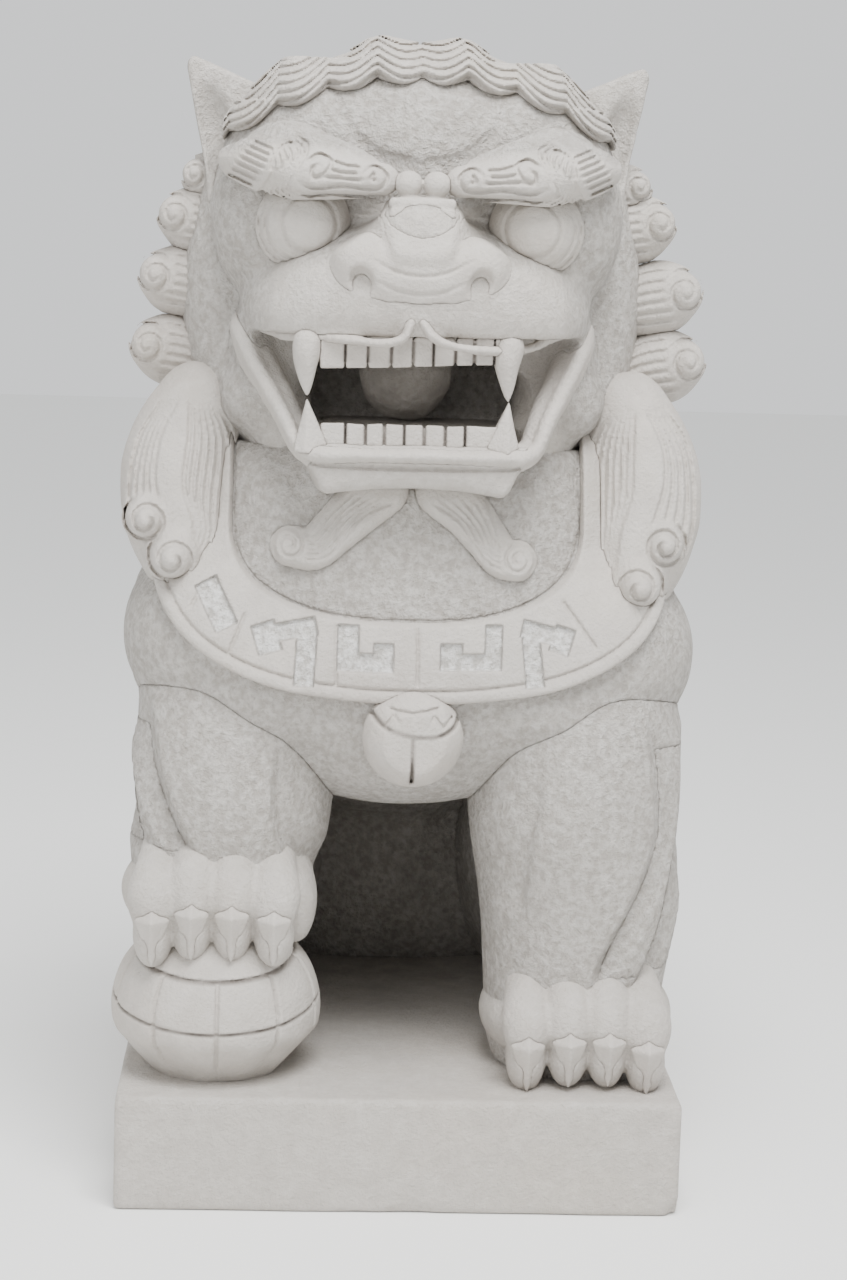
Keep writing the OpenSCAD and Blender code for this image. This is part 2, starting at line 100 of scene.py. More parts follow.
def egg(centre, size, turn=(0, 0, 0)):
    """An ellipsoid of the given full size, turned by degrees about X, Y and Z."""
    cx, cy, cz = centre
    rx, ry, rz = (s / 2 for s in size)
    turned = any(turn)
    m = Matrix.Identity(3)
    for axis, angle in zip("XYZ", turn):
        m = Matrix.Rotation(math.radians(angle), 3, axis) @ m
    back = np.array(m.transposed())
    reach = np.sqrt((np.array(m) ** 2) @ np.array([rx, ry, rz]) ** 2)

    def rule(X, Y, Z):
        x, y, z = X - cx, Y - cy, Z - cz
        if turned:
            x, y, z = (back[i][0] * x + back[i][1] * y + back[i][2] * z for i in range(3))
        k = np.sqrt((x / rx) ** 2 + (y / ry) ** 2 + (z / rz) ** 2)
        slope = np.sqrt((x / rx ** 2) ** 2 + (y / ry ** 2) ** 2 + (z / rz ** 2) ** 2) + 1e-6
        return (k * (k - 1) / slope).astype(np.float32)

    return Shape(np.array(centre) - reach, np.array(centre) + reach, rule)


def curve(points, steps=5):
    """A smooth curve through the points, which may carry extra values such as a radius."""
    p = np.array(points, float)
    if len(p) < 3:
        return p
    p = np.vstack([2 * p[0] - p[1], p, 2 * p[-1] - p[-2]])
    out = []
    for i in range(1, len(p) - 2):
        for t in np.arange(steps) / steps:
            out.append(0.5 * (2 * p[i] + (p[i + 1] - p[i - 1]) * t
                              + (2 * p[i - 1] - 5 * p[i] + 4 * p[i + 1] - p[i + 2]) * t ** 2
                              + (3 * p[i] - p[i - 1] - 3 * p[i + 1] + p[i + 2]) * t ** 3))
    out.append(p[-2])
    return np.array(out)


def roll(points, soft=0, steps=4, deep=1.0):
    """A round bar along a smooth curve of (x, y, z, radius). deep stretches its section along Y."""
    path = curve(points, steps)
    path = path / [1, deep, 1, 1]
    radius = path[:, 3]
    stretch = np.array([1, deep, 1])
    low = ((path[:, :3] - radius[:, None]) * stretch).min(0)
    high = ((path[:, :3] + radius[:, None]) * stretch).max(0)

    def segment(a, b):
        ends = np.array([a[:3], b[:3]])
        fat = max(a[3], b[3])

        def rule(X, Y, Z):
            Y = Y / deep
            d = b[:3] - a[:3]
            x, y, z = X - a[0], Y - a[1], Z - a[2]
            t = np.clip((x * d[0] + y * d[1] + z * d[2]) / max(d @ d, 1e-6), 0, 1)
            gap = np.sqrt((x - t * d[0]) ** 2 + (y - t * d[1]) ** 2 + (z - t * d[2]) ** 2)
            return (gap - (a[3] + (b[3] - a[3]) * t)).astype(np.float32)

        return Shape((ends.min(0) - fat) * stretch, (ends.max(0) + fat) * stretch, rule)

    whole = join([segment(path[i], path[i + 1]) for i in range(len(path) - 1)], soft)
    return Shape(low, high, whole.rule)


def slab(low, high, soft=4, turn=0, about="Z"):
    """A box with edges rounded over soft, turned by degrees about its own centre."""
    low, high = np.array(low, float), np.array(high, float)
    centre, half = (low + high) / 2, (high - low) / 2
    m = np.array(Matrix.Rotation(math.radians(turn), 3, about).transposed())
    reach = np.abs(m.T) @ half

    def rule(X, Y, Z):
        x, y, z = X - centre[0], Y - centre[1], Z - centre[2]
        if turn:
            x, y, z = (m[i][0] * x + m[i][1] * y + m[i][2] * z for i in range(3))
        q = [np.abs(v) - h + soft for v, h in zip((x, y, z), half)]
        outside = np.sqrt(sum(np.maximum(v, 0) ** 2 for v in q))
        return (outside + np.minimum(np.maximum(np.maximum(q[0], q[1]), q[2]), 0) - soft).astype(np.float32)

    return Shape(centre - reach, centre + reach, rule)


def join(shapes, soft=0):
    """Shapes run together, with fillets of width soft."""
    low = np.min([s.low for s in shapes], 0)
    high = np.max([s.high for s in shapes], 0)

    def rule(X, Y, Z):
        out = np.full((X.size, Y.size, Z.size), FAR, np.float32)
        for shape in shapes:
            win, d = shape.near(X, Y, Z, soft + 16)
            if d is not None:
                out[win] = blend(out[win], d, soft)
        return out

    return Shape(low, high, rule)


def without(shape, tool, soft=0):
    """A shape with a tool's shape cut out of it."""
    def rule(X, Y, Z):
        out = np.array(shape.rule(X, Y, Z))
        win, d = tool.near(X, Y, Z, soft + 8)
        if d is not None:
            out[win] = -blend(-out[win], d, soft)
        return out

    return Shape(shape.low, shape.high, rule)


def within(shape, keep, soft=0):
    """The part of a shape that another one covers."""
    def rule(X, Y, Z):
        return -blend(-np.array(shape.rule(X, Y, Z)), -keep.rule(X, Y, Z), soft)

    return Shape(np.maximum(shape.low, keep.low), np.minimum(shape.high, keep.high), rule)


def relief(shape, height, rise=8):
    """A shape whose skin is raised by height(X, Y, Z), in millimetres."""
    return Shape(shape.low - rise, shape.high + rise,
                 lambda X, Y, Z: (shape.rule(X, Y, Z) - height(X, Y, Z)).astype(np.float32))


def mirrored(shape):
    """The same shape on the other side of the lion."""
    low = np.array([-shape.high[0], shape.low[1], shape.low[2]])
    high = np.array([-shape.low[0], shape.high[1], shape.high[2]])
    return Shape(low, high, lambda X, Y, Z: shape.rule(-X[::-1], Y, Z)[::-1])


BENEATH = slab((-400, -400, 0), (400, 400, 119), 0)  # all that the plinth's top hides
print("shapes: egg, roll, slab and facets, run together by join")

# %% [markdown]
# ## Chisel strokes
#
# The carver draws on the stone and then cuts along the lines. A stroke here is drawn in a flat view, from the
# front or from the side, as a smooth curve. It gives a height for every point of that view, so the same line
# bends over whatever mass lies below it, just as it does on the stone.

# %% Strokes, spirals and combs of strokes
def off_line(U, V, path):
    """Distance in a flat view from a polyline, with the part of its length reached, 0 to 1."""
    best = np.full(np.broadcast(U, V).shape, 1e6, np.float32)
    along = np.zeros_like(best)
    run = np.concatenate([[0], np.cumsum(np.hypot(*np.diff(path[:, :2], axis=0).T))])
    for i in range(len(path) - 1):
        a, d = path[i, :2], path[i + 1, :2] - path[i, :2]
        t = np.clip(((U - a[0]) * d[0] + (V - a[1]) * d[1]) / max(d @ d, 1e-6), 0, 1)
        gap = np.hypot(U - a[0] - t * d[0], V - a[1] - t * d[1])
        closer = gap < best
        best = np.where(closer, gap, best)
        along = np.where(closer, (run[i] + t * (run[i + 1] - run[i])) / max(run[-1], 1e-6), along)
    return best, along


def stroke(U, V, points, width, depth, taper=0.15, steps=5):
    """A V-cut of the given width along a curve, running out at its ends. A minus depth raises a ridge."""
    path = curve(points, steps)
    near = ((U >= path[:, 0].min() - width) & (U <= path[:, 0].max() + width)
            & (V >= path[:, 1].min() - width) & (V <= path[:, 1].max() + width))
    if not near.any():
        return 0.0
    gap, along = off_line(U, V, path)
    cut = np.clip(1 - gap / (width / 2), 0, 1)
    run_out = np.clip(np.minimum(along, 1 - along) / taper + 0.25, 0, 1) if taper else 1
    return -depth * cut * (2 - cut) * run_out * near


def spiral(centre, radius, turns, start, hand=1, tail=0.18):
    """Points of a spiral from its outer end to its eye. start is in degrees, hand 1 winds anticlockwise."""
    t = np.linspace(0, 1, max(8, int(turns * 9)))
    r = radius * (1 - (1 - tail) * t)
    a = np.radians(start) + hand * t * turns * 2 * math.pi
    return np.stack([centre[0] + r * np.cos(a), centre[1] + r * np.sin(a)], 1)


def strokes(U, V, lines, width, depth, taper=0.15, steps=5):
    """Many strokes; where two meet the deeper one wins."""
    out = 0.0
    for line in lines:
        out = np.minimum(out, stroke(U, V, line, width, depth, taper, steps))
    return out


def clear_of(U, V, centre, radius, start=0.9, width=0.2):
    """0 in a snail and 1 outside it, so that strands stop at its edge."""
    return np.clip(np.hypot(U - centre[0], V - centre[1]) / radius - start, 0, width) / width


def between(a, b, count, inner=True):
    """Lines spaced evenly between two curves of the same number of points."""
    a, b = np.array(a, float), np.array(b, float)
    share = (np.arange(count) + 1) / (count + 1) if inner else np.linspace(0, 1, count)
    return [a + (b - a) * s for s in share]


print("cuts: stroke, spiral and combs of strokes")

# %% [markdown]
# ## Low relief
#
# The bib, the beard and the locks over the forehead are low relief. Such a piece is a shell that follows the
# skin under it, inside an outline drawn in the front view, with its edge rounded over.

# %% Shells laid on a skin
SHELL = 9  # how deep a laid-on piece reaches under the skin


def ribbon(U, V, line, steps=4):
    """Distance outside a flat ribbon drawn as (u, v, half-width)."""
    path = curve(line, steps)
    out = None
    for a, b in zip(path[:-1], path[1:]):
        d = b[:2] - a[:2]
        t = np.clip(((U - a[0]) * d[0] + (V - a[1]) * d[1]) / max(d @ d, 1e-6), 0, 1)
        gap = np.hypot(U - a[0] - t * d[0], V - a[1] - t * d[1]) - (a[2] + (b[2] - a[2]) * t)
        out = gap if out is None else np.minimum(out, gap)
    return out


def laid_on(base, outline, thick, rounded, low, high, lines=None):
    """A shell on a base's skin. outline(X, Z) is negative inside, lines(X, Z) adds to its height."""
    def rule(X, Y, Z):
        skin = base.rule(X, Y, Z)
        off = outline(X, Z)
        rise = thick * np.sqrt(np.clip(-off / rounded, 0, 1))
        if lines:
            rise = rise + lines(X, Z)
        return np.maximum(np.maximum(skin - rise, -skin - SHELL), off)

    return Shape(low, high, rule)


print("a laid-on shell reaches", SHELL, "mm under the skin")

# %% [markdown]
# ## Blocks and their parts
#
# A block is a stretch of the statue held as one field, so that masses in it can be filleted into each other.
# It remembers where each named mass took over from what was there before. When the block is cut into its
# parts along those lines, the parts fit each other exactly, and every joint lies in a carved groove.

# %% A block of stone
rng = np.random.default_rng(5)


def unevenness(X, Y, Z, wave, size):
    """A slow wandering of the surface, as hand work leaves: products of three smooth random lines."""
    out = 0.0
    for _ in range(5):
        line = []
        for axis in (X, Y, Z):
            flat = axis.ravel()
            knots = np.arange(flat[0] - wave, flat[-1] + 2 * wave, wave)
            values = np.interp(flat, knots, rng.uniform(-1, 1, len(knots)))
            line.append(np.convolve(np.pad(values, 3, "edge"), np.ones(7) / 7, "valid").reshape(axis.shape))
        out = out + line[0] * line[1] * line[2]
    return (size * out).astype(np.float32)


class Block:
    def __init__(self, low, high, step):
        self.low = np.array(low, float)
        self.step = step
        counts = np.ceil((np.array(high) - low) / step).astype(int) + 1
        lines = [(self.low[i] + step * np.arange(counts[i])).astype(np.float32) for i in range(3)]
        self.X = lines[0][:, None, None]
        self.Y = lines[1][None, :, None]
        self.Z = lines[2][None, None, :]
        self.field = np.full(counts, FAR, np.float32)
        self.parts = []

    def add(self, name, shape, soft=0):
        """Join a named mass to the block, filleted over soft."""
        win, d = shape.near(self.X, self.Y, self.Z, soft + 4 * self.step)
        old = self.field[win]
        self.parts.append((name, win, d - old))
        self.field[win] = blend(old, d, soft)

    def cut(self, shape, soft=0):
        """Take a shape out of the block."""
        win, d = shape.near(self.X, self.Y, self.Z, soft + 4 * self.step)
        self.field[win] = -blend(-self.field[win], d, soft)

    def rough(self, wave, size):
        self.field += unevenness(self.X, self.Y, self.Z, wave, size)

    def part(self, name):
        """The field of one named part, which may be several masses, and the corner of its box."""
        wins = [win for other, win, _ in self.parts if other == name]
        box = [(min(w[i].start for w in wins), max(w[i].stop for w in wins)) for i in range(3)]
        share = np.full([stop - start for start, stop in box], FAR, np.float32)
        for other, win, claim in self.parts:
            both = [(max(a, w.start), min(b, w.stop)) for (a, b), w in zip(box, win)]
            if all(start < stop for start, stop in both):
                mine = tuple(slice(start - a, stop - a) for (start, stop), (a, _) in zip(both, box))
                theirs = tuple(slice(start - w.start, stop - w.start) for (start, stop), w in zip(both, win))
                if other == name:
                    share[mine] = np.minimum(share[mine], claim[theirs])
                else:
                    share[mine] = np.maximum(share[mine], -claim[theirs])
        field = self.field[tuple(slice(a, b) for a, b in box)]
        field = np.pad(np.maximum(field, share), 1, constant_values=self.step)
        return field, self.low + self.step * (np.array([a for a, _ in box]) - 1)

    def names(self):
        return list(dict.fromkeys(name for name, _, _ in self.parts))

    def read(self, points):
        """The block's field at points in millimetres, by the nearest cell."""
        at = np.rint((points - self.low) / self.step).astype(int)
        inside = np.all((at >= 0) & (at < self.field.shape), axis=1)
        at = np.clip(at, 0, np.array(self.field.shape) - 1)
        return np.where(inside, self.field[at[:, 0], at[:, 1], at[:, 2]], FAR)


print("a block holds one field, and each part of it lifts out along its grooves")

# %% [markdown]
# ## From a field to a piece
#
# OpenVDB draws a skin where the field is zero. While the field is at hand, each point of the skin looks a few
# millimetres out and in: if the field there is closer to zero than the distance it looked, another surface is
# near. That tells hollows, where fine dirt stays and shade falls and both are painted darker, from edges,
# where hands and weather rub the stone. The two values and the finish, bush-hammered or ground, are stored on
# the mesh for the material.

# %% Meshing
pieces = {}
LOOK = (5, 12, 26)  # millimetres that a point of the skin looks out and in


def skin(field, corner, step):
    """Points in millimetres and quads of the surface where the field is zero."""
    grid = openvdb.FloatGrid(3 * step)
    grid.copyFromArray(np.clip(field, -3 * step, 3 * step))
    points, quads = grid.convertToQuads(0.0)
    return points.astype(np.float64) * step + corner, quads[:, ::-1]


def mesh_from_skin(name, points, quads):
    mesh = bpy.data.meshes.new(name)
    mesh.vertices.add(len(points))
    mesh.vertices.foreach_set("co", (points * MM).astype(np.float32).ravel())
    mesh.loops.add(quads.size)
    mesh.loops.foreach_set("vertex_index", quads.astype(np.int32).ravel())
    mesh.polygons.add(len(quads))
    mesh.polygons.foreach_set("loop_start", np.arange(0, quads.size, 4, dtype=np.int32))
    mesh.polygons.foreach_set("use_smooth", np.ones(len(quads), bool))
    mesh.update(calc_edges=True)
    mesh.validate()
    mesh.set_sharp_from_angle(angle=math.radians(55))
    return mesh


def set_colour(mesh, name, values):
    layer = mesh.color_attributes.new(name, "FLOAT_COLOR", "POINT")
    rgba = np.ones((len(mesh.vertices), 4), np.float32)
    for i, value in enumerate(values):
        rgba[:, i] = value
    layer.data.foreach_set("color", rgba.ravel())


def study(mesh, points, read):
    """How hollow and how edge-like the skin is at each point, 0 to 1."""
    normals = np.empty(len(points) * 3, np.float32)
    mesh.vertices.foreach_get("normal", normals)
    normals = normals.reshape(-1, 3)
    hollow, edge = 0.0, 0.0
    for far in LOOK:
        hollow = hollow + np.clip((far - read(points + normals * far)) / far, 0, 1.2)
        edge = edge + np.clip((far + read(points - normals * far)) / far, 0, 1.2)
    return np.clip(hollow / len(LOOK), 0, 1), np.clip(edge / len(LOOK), 0, 1)


def soot_and_shade(points):
    """Painted shade with soot and damp, 0 to 1: in the mouth, and in the hollow under the belly."""
    x, y, z = np.abs(points[:, 0]), points[:, 1], points[:, 2]
    deep = np.clip((y + 285) / 110, 0, 1)
    mouth = deep * np.clip((113 - x) / 10, 0, 1)
    mouth = mouth * np.clip((z - 785) / 30, 0, 1) * np.clip((896 - z) / 8, 0, 1)
    back = np.clip((y + 130) / 230, 0, 1)
    arch = back * np.clip((150 - x) / 40, 0, 1)
    arch = arch * np.clip((450 - z) / 30, 0, 1) * np.clip((z - 100) / 15, 0, 1)
    return np.maximum(0.34 * mouth, 0.38 * arch)


def finish_piece(name, points, quads, read, dressed, body="root", pecked=None, darkening=None):
    """A mesh object with its carving attribute: hollow, edge, bush-hammered, and pecked in the alpha."""
    mesh = mesh_from_skin(name, points, quads)
    hollow, edge = study(mesh, points, read)
    hammered = dressed(points) if callable(dressed) else dressed
    set_colour(mesh, "carving", (hollow, edge, hammered, pecked(points[:, 0], points[:, 2]) if pecked else 0))
    # Painted shade with soot and damp in the mouth and under the belly, and the painted darkening of the cuts.
    dark = np.maximum(soot_and_shade(points), darkening(points) if darkening else 0)
    set_colour(mesh, "soot_and_shade", [dark] * 3)
    piece = bpy.data.objects.new(name, mesh)
    bpy.context.scene.collection.objects.link(piece)
    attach(piece, body)
    pieces[name] = piece
    return piece


def lift_out(block, name, dressed, body="root", pecked=None, darkening=None, nodes=None):
    """Cut one named part out of its block as a mesh piece that stands for its CAD nodes."""
    points, quads = skin(*block.part(name), block.step)
    piece = finish_piece("stone_" + name, points, quads, block.read, dressed, body, pecked, darkening)
    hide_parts(*(nodes or [name]))
    print(f"{name}: {len(quads)} faces")
    return piece


# %% [markdown]
# ## Helpers for a two-sided animal
#
# Nearly everything on the lion comes in twos. A shape is made once for its left side, which is +X, and
# mirrored. The finish of a part is 1 where the bush hammer was left showing and 0 where it was ground away.

# %% Pairs and flat facets
LEFT, RIGHT = "left", "right"


def pair(shape):
    return join([shape, mirrored(shape)])


def facets(planes, low, high, soft=2):
    """A form with flat faces: each plane is a point on it and the way it faces."""
    flats = []
    for point, way in planes:
        way = np.array(way, float) / np.linalg.norm(way)
        flats.append((way, float(way @ np.array(point, float))))

    def rule(X, Y, Z):
        out = None
        for (a, b, c), offset in flats:
            d = (a * X + b * Y + c * Z - offset).astype(np.float32)
            out = d if out is None else -blend(-out, -d, soft)
        return np.array(np.broadcast_to(out, (X.size, Y.size, Z.size)))

    return Shape(low, high, rule)


def flip_line(points):
    return [(-p[0], *p[1:]) for p in points]


def both_ways(lines):
    """Front-view strokes together with their mirror images."""
    return list(lines) + [flip_line(line) for line in lines]


# %% [markdown]
# ## The head
#
# The head is one block, because its masses run into each other: a bulging forehead in three lobes, a broad
# muzzle that swells up under the eyes, and the sides of the face narrowing to the mouth. The brows, eyes,
# nose and lips are worked on top of them.

# %% Skull, muzzle and cheeks
head = Block((-252, -376, 716), (252, 62, 1216), 1.6)

LOBE_EDGE = [(92, 1150), (88, 1124), (74, 1096), (50, 1074), (24, 1064), (0, 1062)]


def forehead_lines(X, Y, Z):
    """A shallow furrow round the middle lobe of the forehead."""
    return strokes(X, Z, both_ways([LOBE_EDGE]), 16, 2.6, taper=0.1) * (Y < -80)


skull = relief(join([
    egg((0, -112, 1030), (380, 316, 290)),
    egg((0, -172, 1082), (224, 206, 168)),
    pair(egg((110, -168, 1082), (156, 196, 140), (0, 22, 0))),
    pair(egg((152, -176, 1012), (124, 196, 190))),
], 34), forehead_lines)
head.add("head", skull)

throat = join([
    slab((-190, -120, 716), (190, 60, 980), 20),
    pair(egg((184, -96, 925), (122, 160, 310))),
    pair(egg((168, -110, 830), (124, 170, 150))),
], 20)
head.add("throat", throat, 8)

muzzle = join([
    egg((0, -252, 926), (250, 190, 150)),
    egg((0, -296, 986), (104, 100, 74)),
    pair(egg((84, -244, 922), (176, 182, 136), (0, 24, 0))),
    pair(egg((118, -196, 916), (124, 150, 110))),
], 30)
head.add("head", muzzle, 16)

cheek = join([
    egg((150, -164, 862), (84, 150, 150)),
    egg((168, -186, 818), (66, 84, 66)),
    egg((128, -150, 780), (90, 150, 90)),
], 24)
head.add("head", pair(cheek), 12)

# %% [markdown]
# The jaw is a plain wedge with a hollowed lower edge. The hollow of the mouth is cut after it, through to the
# throat, and it is the shape that the loose pearl was freed from.

# %% Jaw and the hollow of the mouth
JAW_FRONT = -333
GUM_TOP = 884
CHIN_LINE = [(-118, 770), (-100, 763), (-50, 761), (50, 761), (100, 763), (118, 770)]


def jaw_hollow(X, Y, Z):
    """The chin's lower edge rises in the middle, and a line is cut under the lip."""
    rise = -np.clip(1 - (X / 90.0) ** 2, 0, 1) * np.clip((752 - Z) / 12, 0, 1) * 8
    return np.minimum(rise, stroke(X, Z, CHIN_LINE, 5, 4, taper=0))


jaw = relief(facets([
    ((0, JAW_FRONT, 760), (0, -1, 0.06)),
    ((0, -120, 760), (0, 1, 0)),
    ((0, -300, 782), (0, 0, 1)),
    ((0, -300, 730), (0, -0.10, -1)),
    ((114, -330, 784), (1, -0.10, -0.42)),
    ((-114, -330, 784), (-1, -0.10, -0.42)),
], (-130, -338, 716), (130, -116, 800), 9), jaw_hollow)
head.add("lower_jaw", jaw, 4)

hollow = join([
    slab((-106, -400, 797), (106, -118, GUM_TOP), 10),
    facets([((150, -236, 860), (1, 0.9, -0.5)), ((-150, -236, 860), (-1, 0.9, -0.5)),
            ((0, -214, 860), (0, 1, 0)), ((0, -300, GUM_TOP + 8), (0, 0, 1)), ((0, -300, 786), (0, 0, -1))],
           (-166, -420, 780), (166, -200, 900), 10),
], 8)
head.cut(hollow, 4)
print("head block:", head.field.shape, "cells")

# %% [markdown]
# ## Nose, bridge and beads
#
# The nose is a wide bulb with a flat pad standing over it, two nostrils drilled at a slant, and smile-shaped
# folds cut under the pad. Between the brows sit two beads on a folded bar.

# %% Nose and bridge
NOSE_FOLDS = [
    [(-50, 968), (-26, 956), (0, 952), (26, 956), (50, 968)],
    [(-44, 946), (-22, 937), (0, 934), (22, 937), (44, 946)],
    [(-26, 926), (0, 922), (26, 926)],
]


def nose_lines(X, Y, Z):
    return strokes(X, Z, NOSE_FOLDS, 5, 2.6, taper=0.3)


nose = join([
    egg((0, -318, 950), (168, 74, 80)),
    pair(egg((60, -318, 962), (58, 66, 62))),
], 14)
nose = without(nose, pair(egg((59, -352, 944), (25, 40, 33), (0, 18, 0))), 5)
nose = relief(nose, nose_lines)
pad = facets([
    ((0, -357, 978), (0, -1, 0.22)), ((0, -338, 996), (0, -0.75, 1)), ((0, -340, 961), (0, -0.15, -1)),
    ((38, -340, 999), (1, 0, -0.2)), ((-38, -340, 999), (-1, 0, -0.2)), ((0, -290, 985), (0, 1, 0)),
], (-56, -364, 950), (56, -286, 1014), 15)
head.add("nose", join([nose, pad], 7), 6)

bead = egg((14, -314, 1042), (28, 28, 26))
bars = join([
    slab((-33, -331, 1018), (33, -280, 1028), 4),
    slab((-32, -333, 1007), (32, -280, 1018), 4),
], 2)
head.add("head", egg((0, -311, 1000), (80, 60, 54)), 12)
head.add("brow_beads", join([pair(bead), bars], 6), 7)
print("nose and beads added; head parts:", len(head.parts))

# %% [markdown]
# ## Eyes
#
# Each eye is a plain ball in a deep socket under the brow, with the iris left standing as a flat disc and the
# lower lid cut under it as a double arc.

# %% Eyes
EYE = (119, -259, 1000)
IRIS = (112, 1000)
IRIS_R = 27


def arc(centre, radius, start, stop):
    """Points of an arc, with its angles in degrees."""
    a = np.radians(np.linspace(start, stop, 9))
    return np.stack([centre[0] + radius * np.cos(a), centre[1] + radius * np.sin(a)], 1)


def iris(X, Y, Z):
    """The iris stands a little proud inside its ring, and two arcs under it are the lower lid."""
    away = np.hypot(X - IRIS[0], Z - IRIS[1])
    disc = np.clip((IRIS_R - away) / 4, 0, 1) * 2.4
    ring = -np.clip(1 - np.abs(away - IRIS_R - 1) / 2.6, 0, 1) * 2.4
    lids = [arc((EYE[0], EYE[2]), r, -140, 25) for r in (37, 43)]
    return (disc + np.minimum(ring, strokes(X, Z, lids, 4.5, 2.6, taper=0.15, steps=1))) * (Y < EYE[1])


socket = egg((112, -322, 1006), (124, 84, 70), (0, 10, 0))
head.cut(pair(socket), 10)
eyeball = relief(egg(EYE, (98, 98, 96)), iris)
head.add("eye_left", eyeball, 0)
head.add("eye_right", mirrored(eyeball), 0)
print("eyes at", EYE, "and mirrored")

# %% [markdown]
# ## Brows
#
# A brow is a wing of hair laid over the eye socket. It is swept from the beads outwards, starts in a small
# spiral, throws off a second and a third one, and ends in a fan of straight cuts like the teeth of a comb.

# %% Brows
BROW_SAG = 33  # millimetres that the outer end is lower than it was first drawn


def sagged(points):
    """Points of a brow, (x, z) or (x, y, z, radius), with its outer half lowered."""
    up = 1 if len(points[0]) == 2 else 2
    out = []
    for point in points:
        drop = round(BROW_SAG * max(0, (point[0] - 78) / 112) ** 1.25)
        out.append((*point[:up], point[up] - drop, *point[up + 1:]))
    return out


BROW_SNAIL = [(59, 1051), (48, 1058), (36, 1049), (41, 1038), (56, 1036), (80, 1038), (106, 1041),
              (122, 1050)]
BROW_UNDER = [(40, 1030), (60, 1029), (92, 1032), (114, 1036), (130, 1046), (144, 1056)]
BROW_STRANDS = [
    BROW_SNAIL, BROW_UNDER, [(48, 1052), (52, 1046), (47, 1044)],
    [(62, 1056), (78, 1058), (90, 1064)], [(65, 1050), (82, 1052), (94, 1057)],
    [(60, 1044), (78, 1045), (98, 1050), (110, 1051)],
    [(116, 1069), (103, 1073), (91, 1063), (98, 1053), (109, 1053), (110, 1061), (103, 1063)],
    [(124, 1088), (134, 1092), (146, 1086), (150, 1072), (142, 1068), (134, 1074), (138, 1081)],
]
BROW_SWEEP_IN = [(121, 1096), (110, 1089), (111, 1078), (122, 1062), (128, 1048), (112, 1035)]
BROW_SWEEP_OUT = [(156, 1094), (152, 1072), (156, 1062), (164, 1054), (170, 1050), (164, 1042)]
BROW_COMB = ([(146, 1088), (170, 1106)], [(166, 1060), (196, 1084)])


def brow_lines(X, Y, Z):
    fine = strokes(X, Z, [sagged(line) for line in BROW_STRANDS], 5, 4.0, taper=0.12)
    sweep = between(sagged(BROW_SWEEP_IN), sagged(BROW_SWEEP_OUT), 7)
    sweep = strokes(X, Z, sweep, 4.6, 3.6, taper=0.12)
    comb = between(*[sagged(line) for line in BROW_COMB], 7, inner=False)
    comb = strokes(X, Z, comb, 5.0, 4.0, taper=0.2, steps=2)
    return np.minimum(np.minimum(fine, sweep), comb)


HAIR = [(38, -306, 1045, 15), (70, -312, 1046, 18), (104, -312, 1053, 22), (138, -300, 1068, 27),
        (166, -278, 1083, 24), (186, -256, 1092, 15), (194, -242, 1098, 9)]
ROOTS = [(56, -292, 1058, 12), (100, -294, 1074, 18), (134, -278, 1094, 20), (164, -250, 1104, 12)]
brow = join([roll(sagged(HAIR), 6, deep=1.2), roll(sagged(ROOTS), 6)], 10)
brow = relief(brow, brow_lines)
head.add("brow_left", brow, 3)
head.add("brow_right", mirrored(brow), 3)
print("strands in a brow:", len(BROW_STRANDS) + 14)

# %% [markdown]
# ## Ears and the crown
#
# The ears are pointed flaps, hollowed in front. Between them four locks of the mane break over the forehead
# like waves,
# and their front edges are cut with lines that follow the wave.

# %% Ears and crown
ear = facets([
    ((206, -140, 1100), (0.1, -1, 0.12)), ((206, -80, 1100), (0, 1, 0)),
    ((238, -100, 1130), (1, 0, -0.2)), ((238, -100, 1172), (-0.42, 0, 1)),
    ((244, -100, 1166), (0.9, 0, 0.7)), ((150, -100, 1100), (-1, 0, 0)), ((200, -100, 1010), (0, 0, -1)),
], (140, -150, 1004), (252, -72, 1180), 7)
ear = without(ear, egg((212, -160, 1092), (46, 84, 138), (0, 14, 0)), 8)
head.add("ear_left", ear, 12)
head.add("ear_right", mirrored(ear), 12)


def crown_edge(X):
    """Height of the scalloped front edge of the crown's locks."""
    scallops = 10 * np.abs(np.sin((np.abs(X) + 4) * math.pi / 50))
    return 1152 - 0.0016 * X ** 2 - scallops


def crown_lines(X, Z):
    """Strands that sweep up and inward over each lock, and locks that stand up at four places."""
    above = Z - crown_edge(X)
    sweep = above + 0.22 * np.abs(np.abs(X) - 52)
    grooves = -4.0 * np.clip(1 - np.abs(sweep % 9.0 - 5) / 2.6, 0, 1) * (above < 48)
    bumps = 10 * np.exp(-((np.abs(X) - 46) / 26) ** 2) + 9 * np.exp(-((np.abs(X) - 132) / 26) ** 2)
    return grooves + bumps * np.clip(above / 24, 0, 1)


head.add("crown_curls", laid_on(skull, lambda X, Z: crown_edge(X) - Z, 13, 10, (-196, -300, 1080),
                                (196, 60, 1204), crown_lines), 2)

# %% [markdown]
# ## Lips and teeth
#
# The upper lip is a thin rolled edge that dips towards the middle and turns up under the nose. The lower lip
# is a rim that runs from one mouth corner round the jaw to the other, with a slope of stone behind it.
# The cutting teeth are one bar
# with saw cuts in it, and the fangs are faceted like chisels.

